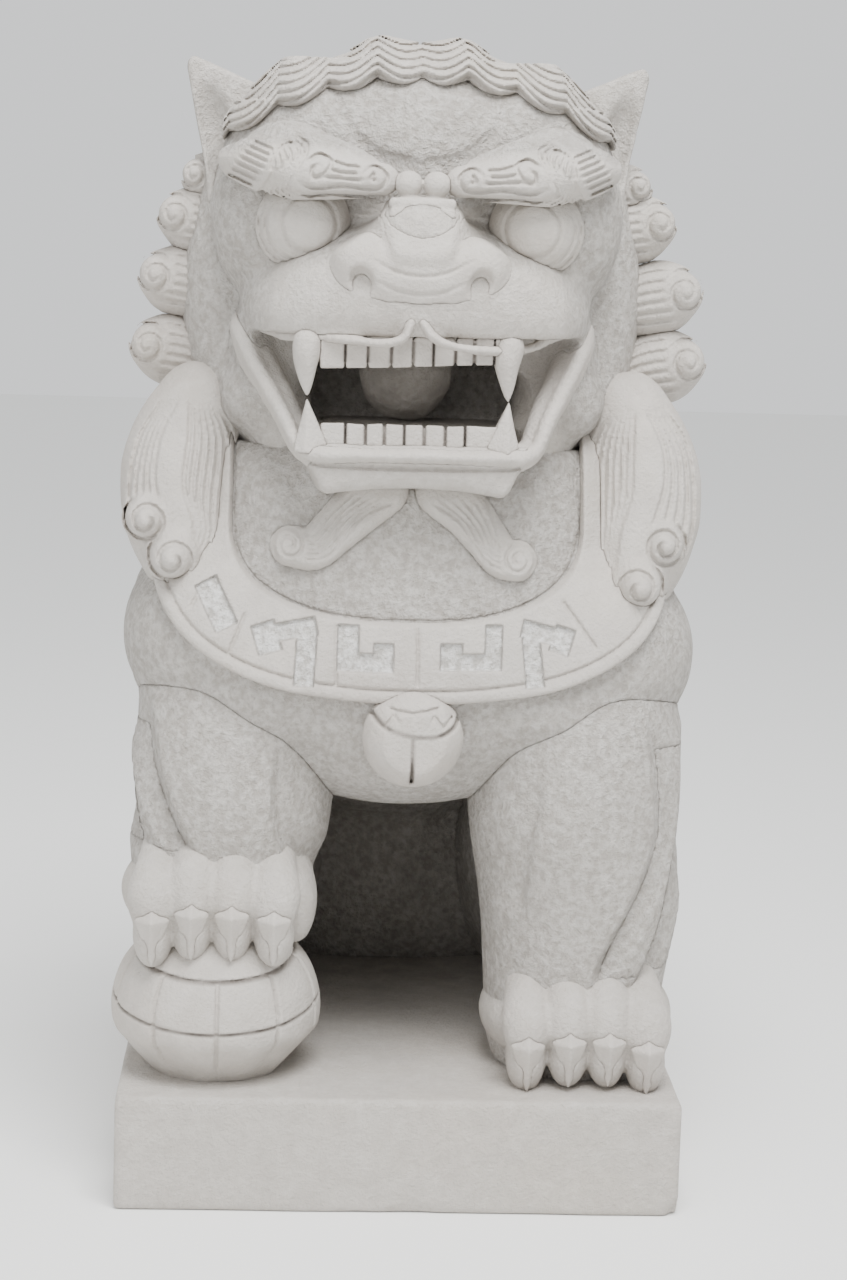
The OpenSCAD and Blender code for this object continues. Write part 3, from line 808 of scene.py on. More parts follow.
# %% Lips
UPPER_LIP = {
    RIGHT: [(-182, -204, 896, 4), (-172, -216, 901, 4), (-154, -246, 893, 4), (-130, -286, 887, 4),
            (-98, -318, 888, 4), (-66, -332, 887, 4), (-36, -341, 885, 4), (-16, -345, 891, 4),
            (-9, -343, 906, 3)],
    LEFT: [(176, -208, 896, 4), (163, -220, 901, 4), (136, -264, 890, 4), (106, -306, 881, 4),
           (66, -332, 880, 4), (34, -342, 884, 4), (14, -345, 892, 4), (3, -343, 906, 3)],
}
upper_lip = join([roll(line, 2, deep=2.0) for line in UPPER_LIP.values()])
head.add("upper_lip", upper_lip, 7)
LOWER_LIP = {
    RIGHT: [(0, -337, 774, 5), (-50, -336, 773, 5), (-94, -332, 773, 6), (-116, -317, 777, 6),
            (-132, -296, 806, 7), (-150, -270, 836, 8), (-168, -244, 864, 8), (-181, -220, 888, 7),
            (-185, -206, 898, 5)],
    LEFT: [(0, -337, 774, 5), (50, -336, 773, 5), (96, -332, 773, 6), (119, -317, 777, 6),
           (133, -296, 806, 7), (149, -270, 836, 8), (165, -244, 864, 8), (177, -220, 888, 7),
           (181, -206, 898, 5)],
}
backing = [roll([(0.97 * x, y + 20, z - 1, 2 * r) for x, y, z, r in line], 3) for line in LOWER_LIP.values()]
head.add("lower_lip", join([roll(line, 3, deep=1.5) for line in LOWER_LIP.values()] + backing, 6), 9)

# %% Teeth, fangs and tongue
UPPER_SLITS = [-73, -50, -27, -5, 15, 37, 56, 76]
LOWER_SLITS = [-71, -51, -32, -12, 8, 29, 49]
SLIT_W, SLIT_DEEP = 2.0, 5


def slits(places):
    """A saw cut at each place."""
    def height(X, Y, Z):
        return sum(-SLIT_DEEP * np.clip(1.3 - np.abs(X - x) / (SLIT_W / 2), 0, 1) for x in places)
    return height


def in_slits(places, low, high):
    """1 where the saw cuts are painted dark, between two heights."""
    def dark(points):
        near = sum(np.clip(1.6 - np.abs(points[:, 0] - x) / 1.6, 0, 1) for x in places)
        return 0.85 * np.clip(near, 0, 1) * (points[:, 2] > low) * (points[:, 2] < high)
    return dark


upper_teeth = relief(facets([
    ((0, -325, 875), (0, -1, -0.12)), ((0, -300, 875), (0, 1, 0)), ((0, -310, 863), (0.045, 0.1, -1)),
    ((0, -310, 892), (0, 0, 1)), ((84, -310, 875), (1, 0, 0)), ((-98, -310, 875), (-1, 0, 0)),
], (-98, -332, 858), (96, -294, 896), 2), slits(UPPER_SLITS))
lower_teeth = relief(facets([
    ((0, -325, 790), (0, -1, 0.14)), ((0, -300, 795), (0, 1, 0)), ((0, -318, 803), (0, 0.25, 1)),
    ((0, -310, 774), (0, 0, -1)), ((92, -310, 790), (1, 0, 0)), ((-96, -310, 790), (-1, 0, 0)),
], (-96, -332, 770), (96, -294, 814), 2), slits(LOWER_SLITS))


def upper_fang(x):
    """A fang that is round in front and chiselled to a point."""
    top = 884
    cone = roll([(x, -315, top, 15), (x - 2, -318, 866, 12), (x - 1, -320, 847, 7), (x, -321, 830, 1.5)], 2,
                deep=1.2)
    faces = facets([
        ((x, -341, top), (0.5, -1, -0.36)), ((x, -341, top), (-0.5, -1, -0.36)),
        ((x, -300, top), (0, 1, -0.3)),
    ], (x - 24, -350, 830), (x + 24, -290, 912), 3)
    return within(cone, faces, 2)


def lower_fang(x, s):
    """A three-sided prism at the corner of the jaw."""
    return facets([
        ((x, -336, 780), (-0.4 * s, -1, 0.32)), ((x + 14 * s, -332, 780), (0.8 * s, -1, 0.34)),
        ((x, -296, 780), (0, 1, 0.4)), ((x - 15 * s, -312, 782), (-s, 0, 0.45)),
        ((x + 17 * s, -312, 782), (s, 0, 0.22)), ((x, -312, 774), (0, 0, -1)),
    ], (x - 24, -342, 770), (x + 24, -290, 830), 1.5)


head.add("upper_teeth", upper_teeth, 1)
head.add("lower_teeth", lower_teeth, 1)
head.add("upper_fangs", join([upper_fang(-110), upper_fang(91)]), 2)
head.add("lower_fangs", join([lower_fang(-104, -1), lower_fang(86, 1)]), 1)
tongue = facets([
    ((0, -300, 785), (0, -1, 0)), ((0, -116, 785), (0, 1, 0)), ((104, -200, 785), (1, 0, 0)),
    ((-104, -200, 785), (-1, 0, 0)), ((0, -200, 774), (0, 0, -1)), ((0, -200, 797), (0, 0, 1)),
    ((0, -300, 781), (0, -0.3, 1)),
], (-104, -300, 774), (104, -116, 797), 3)
head.add("tongue", tongue, 0)
head.rough(18, 1.3)
print("head parts:", len(head.parts))

# %% Cut the head into its parts
ROUGH_IN_HEAD = {"throat": 1.0, "tongue": 0.6, "crown_curls": 0.35, "ear_left": 0.5, "ear_right": 0.5,
                 "lower_jaw": 0.35}
GROUND_SMOOTH = 0.12


def face_finish(points):
    """The forehead and the sides are bush-hammered; the muzzle below the eyes was ground over."""
    x, z = np.abs(points[:, 0]), points[:, 2]
    low = np.clip((985 - z) / 30, 0, 1) * np.clip((175 - x) / 30, 0, 1)
    bridge = np.clip((1025 - z) / 10, 0, 1) * np.clip((70 - x) / 15, 0, 1)
    return 1 - 0.7 * np.maximum(low, bridge) * (points[:, 1] < -170)


def brow_finish(points):
    """Above its strands a brow is bush-hammered like the forehead."""
    x, z = np.abs(points[:, 0]), points[:, 2]
    hair_line = np.interp(x, [40, 100, 150, 190], [1062, 1072, 1074, 1064])
    return GROUND_SMOOTH + (1 - GROUND_SMOOTH) * np.clip((z - hair_line) / 8, 0, 1)


FINISH = {"head": face_finish, "brow_left": brow_finish, "brow_right": brow_finish}
CUT_DARKENING = {"upper_teeth": in_slits(UPPER_SLITS, 864, 887), "lower_teeth": in_slits(LOWER_SLITS, 783, 806)}
for name in head.names():
    dressed = FINISH.get(name, ROUGH_IN_HEAD.get(name, GROUND_SMOOTH))
    nodes = ["head", "muzzle", "cheek_left", "cheek_right"] if name == "head" else [name]
    lift_out(head, name, dressed, darkening=CUT_DARKENING.get(name), nodes=nodes)

# %% [markdown]
# ## The body
#
# The body is one block as well: a deep chest and neck, shoulders that bulge over the forelegs, and the seated
# hindquarters. The crease under each shoulder is a fold that the carver has cut all the way to the belly.

# %% Torso and shoulders
body = Block((-324, -352, 112), (324, 384, 784), 2.5)

chest = join([
    egg((0, -150, 548), (556, 336, 300)),
    egg((0, -176, 486), (300, 260, 180)),
    egg((0, -110, 640), (544, 330, 300)),
    egg((0, -100, 720), (470, 330, 260)),
    egg((0, 20, 620), (470, 330, 380)),
    egg((0, 140, 500), (430, 310, 260)),
], 40)
body.add("torso", within(chest, slab((-330, -360, 100), (330, 390, 772), 0)))


def shoulder(side):
    """The lion's right shoulder is drawn in a little, over the raised leg."""
    s, x, z = (1, 199, 556) if side == LEFT else (-1, 190, 568)
    return join([
        egg((s * x, -160, z), (220, 274, 216)),
        egg((s * (x - 50), -186, z - 44), (190, 254, 160)),
    ], 30)


shoulders = {side: shoulder(side) for side in (LEFT, RIGHT)}
for mass in shoulders.values():
    body.add("torso", mass, 30)
print("masses of the trunk:", len(body.parts))

# %% [markdown]
# ## Hindquarters
#
# The lion sits on its haunches with the hind paws pulled up beside the forelegs. Behind the chest the block
# is cut through to a wall under the belly, which still shows the masses of the hind body.

# %% Rump, haunches and tail
HAUNCH_COIL = [((150, 300), 92, 1.3, 200, -1)]
HAUNCH_FLAMES = [
    [(250, 420), (262, 360), (250, 300), (214, 250)], [(272, 400), (286, 340), (272, 280), (238, 226)],
    [(290, 370), (302, 320), (292, 262), (262, 208)],
]


def haunch_lines(X, Y, Z):
    """The muscle is drawn as a coil, with three flames of hair behind it."""
    lines = [spiral(*s) for s in HAUNCH_COIL] + HAUNCH_FLAMES
    return strokes(Y, Z, lines, 11, 4.5, taper=0.2)


rump = join([egg((0, 232, 210), (420, 176, 250)), egg((0, 206, 410), (410, 244, 240))], 40)
body.add("rump", rump, 18)
haunch = relief(join([
    egg((190, 130, 290), (210, 330, 340)),
    egg((184, 206, 230), (204, 296, 300)),
], 30), haunch_lines)
body.add("haunch_left", haunch, 10)
body.add("haunch_right", mirrored(haunch), 10)

TAIL_MIDDLE = [(0, 150), (0, 640)]
TAIL_SIDE = [(16, 640), (40, 580), (24, 510), (52, 450), (40, 380), (34, 300), (20, 200)]
TAIL_SWIRLS = [((74, 392), 34, 1.5, -60, 1), ((66, 488), 30, 1.5, -60, 1), ((40, 572), 24, 1.4, -60, 1)]


def tail_lines(X, Y, Z):
    lines = [TAIL_SIDE] + [spiral(*s) for s in TAIL_SWIRLS]
    inner = [[(x * 0.5, z) for x, z in TAIL_SIDE]]
    return strokes(X, Z, both_ways(lines + inner) + [TAIL_MIDDLE], 8, 4, taper=0.1) * (Y > 250)


tail = relief(join([
    roll([(0, 318, 160, 40), (0, 330, 290, 44), (0, 330, 390, 48), (0, 300, 500, 46), (0, 258, 575, 38),
          (0, 214, 645, 24)], 10),
    pair(egg((74, 318, 390), (92, 84, 96), (0, 20, 0))),
    pair(egg((66, 290, 488), (82, 80, 86), (0, 20, 0))),
    pair(egg((38, 256, 572), (64, 70, 76), (0, 20, 0))),
], 14), tail_lines)
body.add("tail", tail, 6)

# %% [markdown]
# ## Forelegs
#
# The forelegs are thick columns. Long ledges part two bands of muscle or hair from the outside of each leg,
# and a fainter one runs down its inner side.

# %% Forelegs and their fringes
LEFT_LEG = [(186, -176, 520, 92), (187, -192, 460, 108), (187, -198, 400, 112), (191, -200, 340, 107),
            (193, -202, 287, 101), (190, -206, 233, 94), (188, -210, 183, 89), (188, -212, 150, 86)]
RIGHT_LEG = [(-184, -176, 520, 92), (-182, -192, 460, 101), (-182, -198, 400, 104), (-186, -200, 345, 97),
             (-188, -204, 300, 90)]
# (x, z) down each line, the side on which the stone drops, its depth and how far it takes to rise again
LEFT_LEDGES = [
    ([(252, 500), (262, 440), (264, 380), (250, 333), (229, 290), (211, 255), (202, 225)], 1, 11, 30),
    ([(296, 480), (297, 420), (291, 363), (277, 290), (261, 245), (240, 205)], 1, 11, 22),
    ([(140, 460), (133, 400), (126, 350), (124, 300)], -1, 5, 50),
]
RIGHT_LEDGES = [
    ([(-268, 510), (-260, 450), (-246, 408), (-229, 373), (-212, 350)], -1, 11, 30),
    ([(-292, 450), (-284, 400), (-272, 360), (-258, 338)], -1, 9, 20),
    ([(-131, 470), (-132, 406), (-124, 366), (-108, 336), (-96, 305)], 1, 9, 40),
]


def off_ledge(X, Z, points):
    """Distance to the right of a line that runs down the front of a leg."""
    path = curve(points)
    return X - np.interp(Z, path[::-1, 1], path[::-1, 0])


def ledges(X, Y, Z, lines):
    """The stone drops at each line and rises again slowly beyond it."""
    out = 0.0
    for points, side, deep, back in lines:
        gap = off_ledge(X, Z, points) * side
        zs = [z for _, z in points]
        fade = np.clip((Z - min(zs)) / 30 + 0.3, 0, 1) * np.clip((max(zs) - Z) / 40 + 0.1, 0, 1)
        drop = np.where(gap < 0, np.clip(1 + gap / 7, 0, 1), np.clip(1 - gap / back, 0, 1))
        out = np.minimum(out, -deep * drop * fade)
    return out * (Y < -140)


def fringe(leg, side, ledge):
    """The band outside a ledge, as its own thin part of the leg's skin."""
    points, way, *_ = ledge
    low, high = min(z for _, z in points), max(z for _, z in points)

    def outline(X, Z):
        return np.maximum(-off_ledge(X, Z, points) * way, np.maximum(low + 6 - Z, Z - high + 30))

    return laid_on(leg, outline, 0.4, 1, leg.low, leg.high)


for side, path, lines in ((LEFT, LEFT_LEG, LEFT_LEDGES), (RIGHT, RIGHT_LEG, RIGHT_LEDGES)):
    leg = relief(roll(path, 10, deep=1.12), lambda X, Y, Z, lines=lines: ledges(X, Y, Z, lines))
    body.add("foreleg_" + side, leg, 5)
    body.add("leg_fringe_" + side, fringe(leg, side, lines[0]), 0)

hind_paw = join([
    roll([(198, 60, 170, 44), (206, -10, 168, 48), (208, -60, 164, 46)], 14),
    *[egg((x, -92, 158), (40, 74, 70)) for x in (168, 206, 244)],
], 12)
body.add("hind_paw_left", hind_paw, 6)
body.add("hind_paw_right", mirrored(hind_paw), 6)
body.cut(BENEATH)
body.rough(30, 1.6)
print("body block:", body.field.shape, "cells,", len(body.parts), "masses")

# %% [markdown]
# ## Paws and claws
#
# Each forepaw has four knuckles in a row, and under each of them a claw cut as a kite with a ridge down its
# middle. The same paw is carved twice, once on the plinth and once, mirrored and higher, on the ball.

# %% Forepaws
TOES = (132, 175, 216, 256)
RAISED = 128


def claw(x, z, half=18, length=68, y=-346):
    """A kite with four front faces that meet in a point near its top."""
    peak = (x, y - 17, z - 19)
    steep = 17 / (length - 19)
    planes = [(peak, (s * 0.93, -1, 0.93)) for s in (-1, 1)]
    planes += [(peak, (s * 0.93, -1, -steep)) for s in (-1, 1)]
    planes += [((x + s * half, y, z - 19), (s, 0, slope)) for s in (-1, 1) for slope in (0.9, -0.36)]
    planes += [((x, y + 26, z), (0, 1, 0))]
    return facets(planes, (x - half - 14, y - 18, z - length), (x + half + 14, y + 28, z + 14), 0.8)


def carve_paw(name, side, rise):
    """One forepaw and its claws, in their own finer block."""
    lift = RAISED if rise else 0
    low, high = sorted((side * 84, side * 300))
    block = Block((low, -376, 112 + lift), (high, -100, 280 + lift), 1.8)
    toes = []
    for i, x in enumerate(TOES):
        z = 192 + (0, 5, 5, -2)[i] + lift
        skin = -210 - 92 * math.sqrt(1 - ((x - 190) / 108) ** 2)
        toes.append(join([
            roll([(side * (0.84 * x + 30), skin + 34, z + 50, 16),
                  (side * (0.94 * x + 11), skin + 18, z + 24, 20),
                  (side * x, -318, z + 2, 23), (side * x, -328, z - 16, 21)], 8),
            egg((side * x, -318, z - 42), (42, 66, 72)),
        ], 8))
    under = egg((side * 192, -216, 172 + lift), (206, 226, 124))
    inner = roll([(side * 122, -236, 208 + lift, 24), (side * 112, -256, 172 + lift, 22),
                  (side * 112, -262, 142 + lift, 16)], 6, deep=1.4)
    masses = [under] + toes + ([inner] if rise else [])
    block.add("paw_" + name, join(masses, 7))
    claws = [claw(side * x, 190 + (-2, 2, 3, -4)[i] + lift) for i, x in enumerate(TOES)]
    block.add("claws_" + name, join(claws), 1)
    if not rise:
        block.cut(BENEATH)
    block.rough(16, 0.8)
    lift_out(block, "paw_" + name, 0.25)
    lift_out(block, "claws_" + name, 0.0)


carve_paw(LEFT, 1, False)
carve_paw(RIGHT, -1, True)

# %% [markdown]
# ## The ball
#
# The ball under the raised paw is a flattened sphere. Two rings and ten meridians are sawn into it, and its
# lower half was left in broad chisel faces.

# %% Ball
BALL = (-192, -258, 186)
BALL_LEAN = 0.2
BALL_RINGS = (17, 66)


def ball_lines(X, Y, Z):
    tall = Z - BALL[2] - BALL_LEAN * (Y - BALL[1])
    rings = [-3.6 * np.clip(1 - np.abs(tall - at) / 2.4, 0, 1) for at in BALL_RINGS]
    turn = np.degrees(np.arctan2(X - BALL[0] - 4, -(Y - BALL[1])))
    away = np.abs((turn + 18) % 36 - 18) * math.pi / 180 * 100
    fade = np.clip((tall + 50) / 50, 0.2, 1) * np.clip((BALL_RINGS[1] + 2 - tall) / 4, 0, 1)
    return np.minimum(np.minimum(*rings), -4.2 * np.clip(1.3 - away / 2.2, 0, 1) * fade)


def ball_ring_darkening(points):
    """Darker colour painted in the sawn rings."""
    tall = points[:, 2] - BALL[2] - BALL_LEAN * (points[:, 1] - BALL[1])
    return sum(0.8 * np.clip(1.4 - np.abs(tall - at) / 2, 0, 1) for at in BALL_RINGS)


def ball_faces():
    """Broad flats under the widest part, each a plane just inside the round form."""
    planes = []
    for k in range(11):
        a = math.radians(k * 360 / 11 + 8)
        way = (math.sin(a), -math.cos(a), -0.85)
        planes.append(((BALL[0] + 93 * way[0], BALL[1] + 93 * way[1], 150), way))
    return facets(planes, (-330, -400, 90), (-60, -120, 300), 4)


ball_block = Block((-306, -372, 112), (-78, -144, 282), 1.8)
ball_block.add("ball", relief(within(egg(BALL, (220, 220, 196)), ball_faces(), 3), ball_lines))
ball_block.cut(BENEATH)
ball_block.rough(20, 1.2)
lift_out(ball_block, "ball", 0.1, darkening=ball_ring_darkening)

# %% Cut the body into its parts
for name in body.names():
    nodes = ["torso", "shoulder_left", "shoulder_right"] if name == "torso" else [name]
    lift_out(body, name, 0.2 if name == "tail" else 1.0, nodes=nodes)

# %% [markdown]
# ## Things laid on the chest
#
# The bib, the beard and the bell lie on the round chest as low relief.
#
# The bib is a band between two drooping curves. It has a rolled rim, panels parted by single cuts, and key
# frets sunk into the panels. The floors of the frets were pecked with a point, so they are bright and rough.

# %% Bib and breast
BIB_OUT = (3, 692, 277, 173)   # centre x and z, half-width, drop
BIB_IN = (-4, 700, 181, 98)
PANEL_CUTS = [[(-210, 637), (-224, 610)], [(-168, 607), (-186, 562)], [(-75, 600), (-74, 536)],
              [(7, 601), (8, 537)], [(156, 625), (192, 578)]]
# centre x and z, width, height and turn in degrees of each bar of the frets
FRET_BARS = [
    (-63, 576, 21, 46, 0), (-45, 562, 56, 19, 0), (-27, 567, 20, 29, 0),
    (85, 579, 17, 44, -1), (62, 564, 62, 17, 0), (42, 569, 22, 27, 0),
    (-124, 591, 58, 17, 12), (-146, 583, 24, 30, 18), (-106, 564, 20, 56, -3),
    (138, 592, 48, 17, -14), (156, 586, 20, 26, -18), (126, 565, 18, 52, 6),
    (-198, 614, 24, 50, 28),
]
FRET_DEEP = 4.5


def droop(X, Z, curve_at):
    """Distance outside a drooping curve, which is a squarish half oval."""
    cx, cz, a, b = curve_at
    u, v = np.abs(X - cx) / a, np.maximum(cz - Z, 0) / b
    k = (u ** 2.5 + v ** 2.5 + 1e-6) ** 0.4
    slope = k ** -1.5 * np.hypot(u ** 1.5 / a, v ** 1.5 / b) + 1e-4
    return (k - 1) / slope


def bar_depth(X, Z, bar):
    cx, cz, width, height, turn = bar
    c, s = math.cos(math.radians(turn)), math.sin(math.radians(turn))
    u, v = (X - cx) * c + (Z - cz) * s, -(X - cx) * s + (Z - cz) * c
    inside = np.minimum(width / 2 - np.abs(u), height / 2 - np.abs(v))
    return np.clip(inside / 2 + 0.5, 0, 1)


def frets(X, Z):
    """1 on the floors of the frets, 0 elsewhere."""
    out = 0.0
    for bar in FRET_BARS:
        out = np.maximum(out, bar_depth(X, Z, bar))
    return out


def bib_outline(X, Z):
    return np.maximum(droop(X, Z, BIB_OUT), -droop(X, Z, BIB_IN))


def bib_lines(X, Z):
    out, inner = droop(X, Z, BIB_OUT), droop(X, Z, BIB_IN)
    rim = 2.2 * np.clip(1 - np.abs(out + 7) / 7, 0, 1) ** 0.5
    rim_cut = -4 * np.clip(1 - np.abs(out + 15) / 2.6, 0, 1)
    neck_cut = -3 * np.clip(1 - np.abs(inner - 1.5) / 3, 0, 1)
    cuts = strokes(X, Z, PANEL_CUTS, 4.5, 3.6, taper=0.08, steps=1)
    return rim + np.minimum(np.minimum(rim_cut, neck_cut), np.minimum(cuts, -FRET_DEEP * frets(X, Z)))


front = Block((-324, -356, 432), (324, -24, 850), 1.8)
bust = join([chest, *shoulders.values()], 30)
front.add("chest_below", bust)
BREAST_TOP = 772  # behind the chin, below the mouth
front.add("breast", laid_on(bust, lambda X, Z: np.maximum(droop(X, Z, BIB_IN) + 2, Z - BREAST_TOP), 9, 44,
                            (-190, -340, 590), (182, -100, 800)), 4)
front.add("bib", laid_on(bust, bib_outline, 12, 3, (-284, -345, 512), (284, -90, 790), bib_lines), 0)

# %% [markdown]
# The bell hangs from the middle of the bib. Its cap is marked with a band of zigzag and its mouth with a slit.

# %% Bell
BELL = (5, -320, 485)
ZIGZAG = [(-36, 512), (-24, 502), (-15, 514), (-5, 496), (5, 515), (16, 496), (25, 513), (35, 501), (43, 510)]
BELL_RIM = [(-40, 514), (-24, 501), (2, 493), (28, 493), (45, 500), (52, 510)]
BELL_TOP = [(-22, 519), (4, 516), (32, 520)]
BELL_SLIT = [(4, 494), (4, 441)]


def bell_lines(X, Y, Z):
    cuts = [stroke(X, Z, BELL_RIM, 6, 4.4, taper=0.05),
            stroke(X, Z, BELL_TOP, 5, 4.0, taper=0.1),
            strokes(X, Z, [ZIGZAG], 4.4, 3.6, taper=0, steps=1),
            stroke(X, Z, BELL_SLIT, 5, 8, taper=0.05, steps=1)]
    return np.minimum.reduce(cuts) * (Y < BELL[1] + 6)


def bell_cut_darkening(points):
    """Darker colour painted in the slit and under the rim."""
    x, y, z = points.T
    rim = stroke(x, z, BELL_RIM, 6, 1, taper=0.05)
    slit = stroke(x, z, BELL_SLIT, 6, 1, taper=0.05, steps=1)
    return -0.7 * np.minimum(rim, slit) * (y < BELL[1])


front.add("bell", relief(egg(BELL, (103, 92, 101)), bell_lines), 1)

# %% [markdown]
# Two locks of the beard lie on the breast and end in snails. Their strands part under the chin.

# %% Beard locks
beard_base = relief(bust, lambda X, Y, Z: 8.0)
BEARD = {
    RIGHT: ([(-36, 736, 32), (-58, 712, 27), (-80, 690, 24), (-100, 672, 22), (-124, 673, 21)],
            ([(-72, 730), (-92, 706), (-104, 690), (-112, 694)],
             [(-8, 722), (-44, 708), (-80, 664), (-114, 655)]),
            ((-125, 676), 19, 1.9, 235, -1)),
    LEFT: ([(34, 736, 32), (56, 712, 26), (74, 690, 23), (92, 668, 21), (109, 664, 21)],
           ([(86, 728), (92, 700), (94, 686), (100, 690)], [(8, 722), (42, 704), (70, 664), (98, 648)]),
           ((110, 666), 19, 1.9, -55, 1)),
}
for side, (line, (inner, outer), snail) in BEARD.items():
    def beard_lines(X, Z, inner=inner, outer=outer, snail=snail):
        strands = strokes(X, Z, between(inner, outer, 6), 4.6, 2.8, taper=0.12)
        clear = clear_of(X, Z, snail[0], snail[1])
        return np.minimum(strands * clear, stroke(X, Z, spiral(*snail), 4.6, 3.2, taper=0.05, steps=2))

    xs = sorted((0, math.copysign(152, line[0][0])))
    front.add("beard_lock_" + side, laid_on(beard_base, lambda X, Z, line=line: ribbon(X, Z, line), 14, 11,
                                            (xs[0], -350, 640), (xs[1], -140, 770), beard_lines), 2)

# %% [markdown]
# The big locks of the mane fall over the shoulders. Each one gathers its strands under the cheek and lets
# them go in two snails, one on the outside and one lower and further in.

# %% Mane locks
MANE = {
    RIGHT: dict(
        mass=[(-222, -140, 810, 44), (-240, -154, 750, 58), (-240, -176, 695, 56), (-234, -206, 655, 42)],
        snails=[((-273, 694), 25, 1.9, 120, 1), ((-244, 657), 27, 1.9, 120, 1)],
        outer=([(-262, 815), (-286, 780), (-297, 740), (-299, 700), (-293, 676)],
               [(-240, 818), (-256, 780), (-260, 745), (-256, 722), (-250, 706)]),
        inner=([(-236, 818), (-238, 780), (-242, 735), (-228, 700), (-222, 684)],
               [(-200, 808), (-180, 770), (-184, 700), (-194, 660), (-226, 622)])),
    LEFT: dict(
        mass=[(228, -140, 812, 44), (246, -154, 750, 58), (244, -176, 690, 58), (232, -208, 642, 44)],
        snails=[((264, 680), 25, 1.9, 60, -1), ((236, 638), 28, 1.9, 60, -1)],
        outer=([(270, 818), (296, 780), (305, 730), (304, 680), (288, 646)],
               [(240, 818), (256, 780), (256, 745), (246, 720), (240, 700)]),
        inner=([(236, 818), (236, 780), (234, 735), (220, 700), (214, 676)],
               [(204, 812), (186, 770), (184, 700), (192, 650), (212, 606)])),
}
for side, lock in MANE.items():
    def mane_lines(X, Y, Z, lock=lock):
        strands = strokes(X, Z, between(*lock["outer"], 5) + between(*lock["inner"], 7), 6.0, 3.4, taper=0.1)
        coils = 0.0
        for snail in lock["snails"]:
            strands = strands * clear_of(X, Z, snail[0], snail[1], 0.95, 0.15)
            coils = np.minimum(coils, stroke(X, Z, spiral(*snail), 6, 4.2, taper=0.05, steps=2))
        return np.minimum(strands, coils) * (Y < -60)

    places = list(zip(lock["snails"], (-214, -240)))
    knobs = [egg((x, y, z), (2.2 * r, 92, 2.2 * r)) for ((x, z), r, *_), y in places]
    eyes = [egg((x, y - 42, z), (20, 26, 20)) for ((x, z), *_), y in places]
    mass = relief(join([roll(lock["mass"], 12, deep=1.25)] + knobs + eyes, 9), mane_lines)
    front.add("mane_lock_" + side, within(mass, slab((-306, -330, 400), (312, 0, 870), 4), 3), 4)

front.rough(24, 1.2)
for name in front.names()[1:]:
    pecked = frets if name == "bib" else None
    lift_out(front, name, 1.0 if name == "breast" else 0.15, pecked=pecked,
             darkening=bell_cut_darkening if name == "bell" else None)

# %% [markdown]
# ## Snail curls at the sides of the face
#
# Four buns stand out on each side. Each one rises from the side of the face with grooves fanning over it and
# ends in a cap wound like a snail shell. The uppermost is half hidden by the ear.

# %% Side curls
SIDE_CURLS = {
    LEFT: [(226, 1044, 0.78), (246, 1004, 1.0), (274, 932, 1.08), (280, 858, 1.1)],
    RIGHT: [(-222, 1044, 0.78), (-240, 1000, 0.96), (-258, 936, 1.0), (-264, 862, 1.04)],
}


def side_curl(x, z, size):
    """One bun. It leans outwards and up, with its cap at the outer end."""
    s = math.copysign(1, x)
    r = 37 * size
    cap = (x + s * 0.42 * r, z + 0.15 * r)
    fan = ([(x - s * 1.9 * r, z - 0.2 * r), (x - s * 0.9 * r, z + 0.75 * r), (x + s * 0.1 * r, z + 0.98 * r)],
           [(x - s * 1.9 * r, z - 0.9 * r), (x - s * 0.7 * r, z - 0.95 * r), (x + s * 0.45 * r, z - 0.8 * r)])
    coil = (cap, 0.62 * r, 1.8, 90 + s * 60, -s)

    def lines(X, Y, Z):
        strands = strokes(X, Z, between(*fan, 6), 6.0, 3.6, taper=0.25)
        clear = clear_of(X, Z, cap, 0.6 * r)
        coils = stroke(X, Z, spiral(*coil), 5.2, 3.4, taper=0.05, steps=2)
        return np.minimum(strands * clear, coils)

    bun = join([
        roll([(x - s * 2.0 * r, -96, z - 0.75 * r, 0.42 * r), (x - s * 1.0 * r, -96, z - 0.25 * r, 0.76 * r),
              (x - s * 0.1 * r, -92, z, 0.98 * r)], 8, deep=1.0),
        egg((cap[0], -100, cap[1]), (1.16 * r, 1.9 * r, 1.24 * r)),
    ], 7)
    return relief(bun, lines)


for side, curls in SIDE_CURLS.items():
    xs = sorted((math.copysign(150, curls[0][0]), math.copysign(326, curls[0][0])))
    block = Block((xs[0], -170, 800), (xs[1], -30, 1096), 1.8)
    for i, (x, z, size) in enumerate(curls):
        bun = within(side_curl(x, z, size), slab((-322, -200, 700), (324, 100, 1200), 0), 0)
        block.add(f"mane_curl_{side}_{i + 1}", bun, 3)
    block.rough(20, 0.9)
    for name in block.names():
        lift_out(block, name, 0.2)

# %% [markdown]
# ## The back of the mane
#
# From behind, the mane is a shield of snail curls in rows. One dome is carved once and set round the neck,
# each row half a curl on from the row above it.

# %% Mane back and nape curls
nape = Block((-230, -140, 600), (230, 190, 1130), 3)
nape.add("mane_back", join([egg((0, 10, 980), (420, 250, 300)), egg((0, 60, 760), (440, 240, 300))], 40))
nape.rough(40, 2)
lift_out(nape, "mane_back", 1.0)

CURL_R = 37
NAPE_ROWS = 4
NAPE_TURN = 36


def dome_lines(X, Y, Z):
    coil = stroke(X, Z, spiral((0, 0), 0.82 * CURL_R, 2.6, 60, 1, 0.1), 6, 3.8, taper=0.03, steps=2)
    return coil * (Y > 0)


dome = Block((-42, -42, -42), (42, 42, 42), 1.8)
dome.add("dome", relief(join([egg((0, 0, 0), (74, 66, 74)), egg((0, 30, 0), (18, 18, 18))], 8), dome_lines))
one, faces = skin(*dome.part("dome"), dome.step)

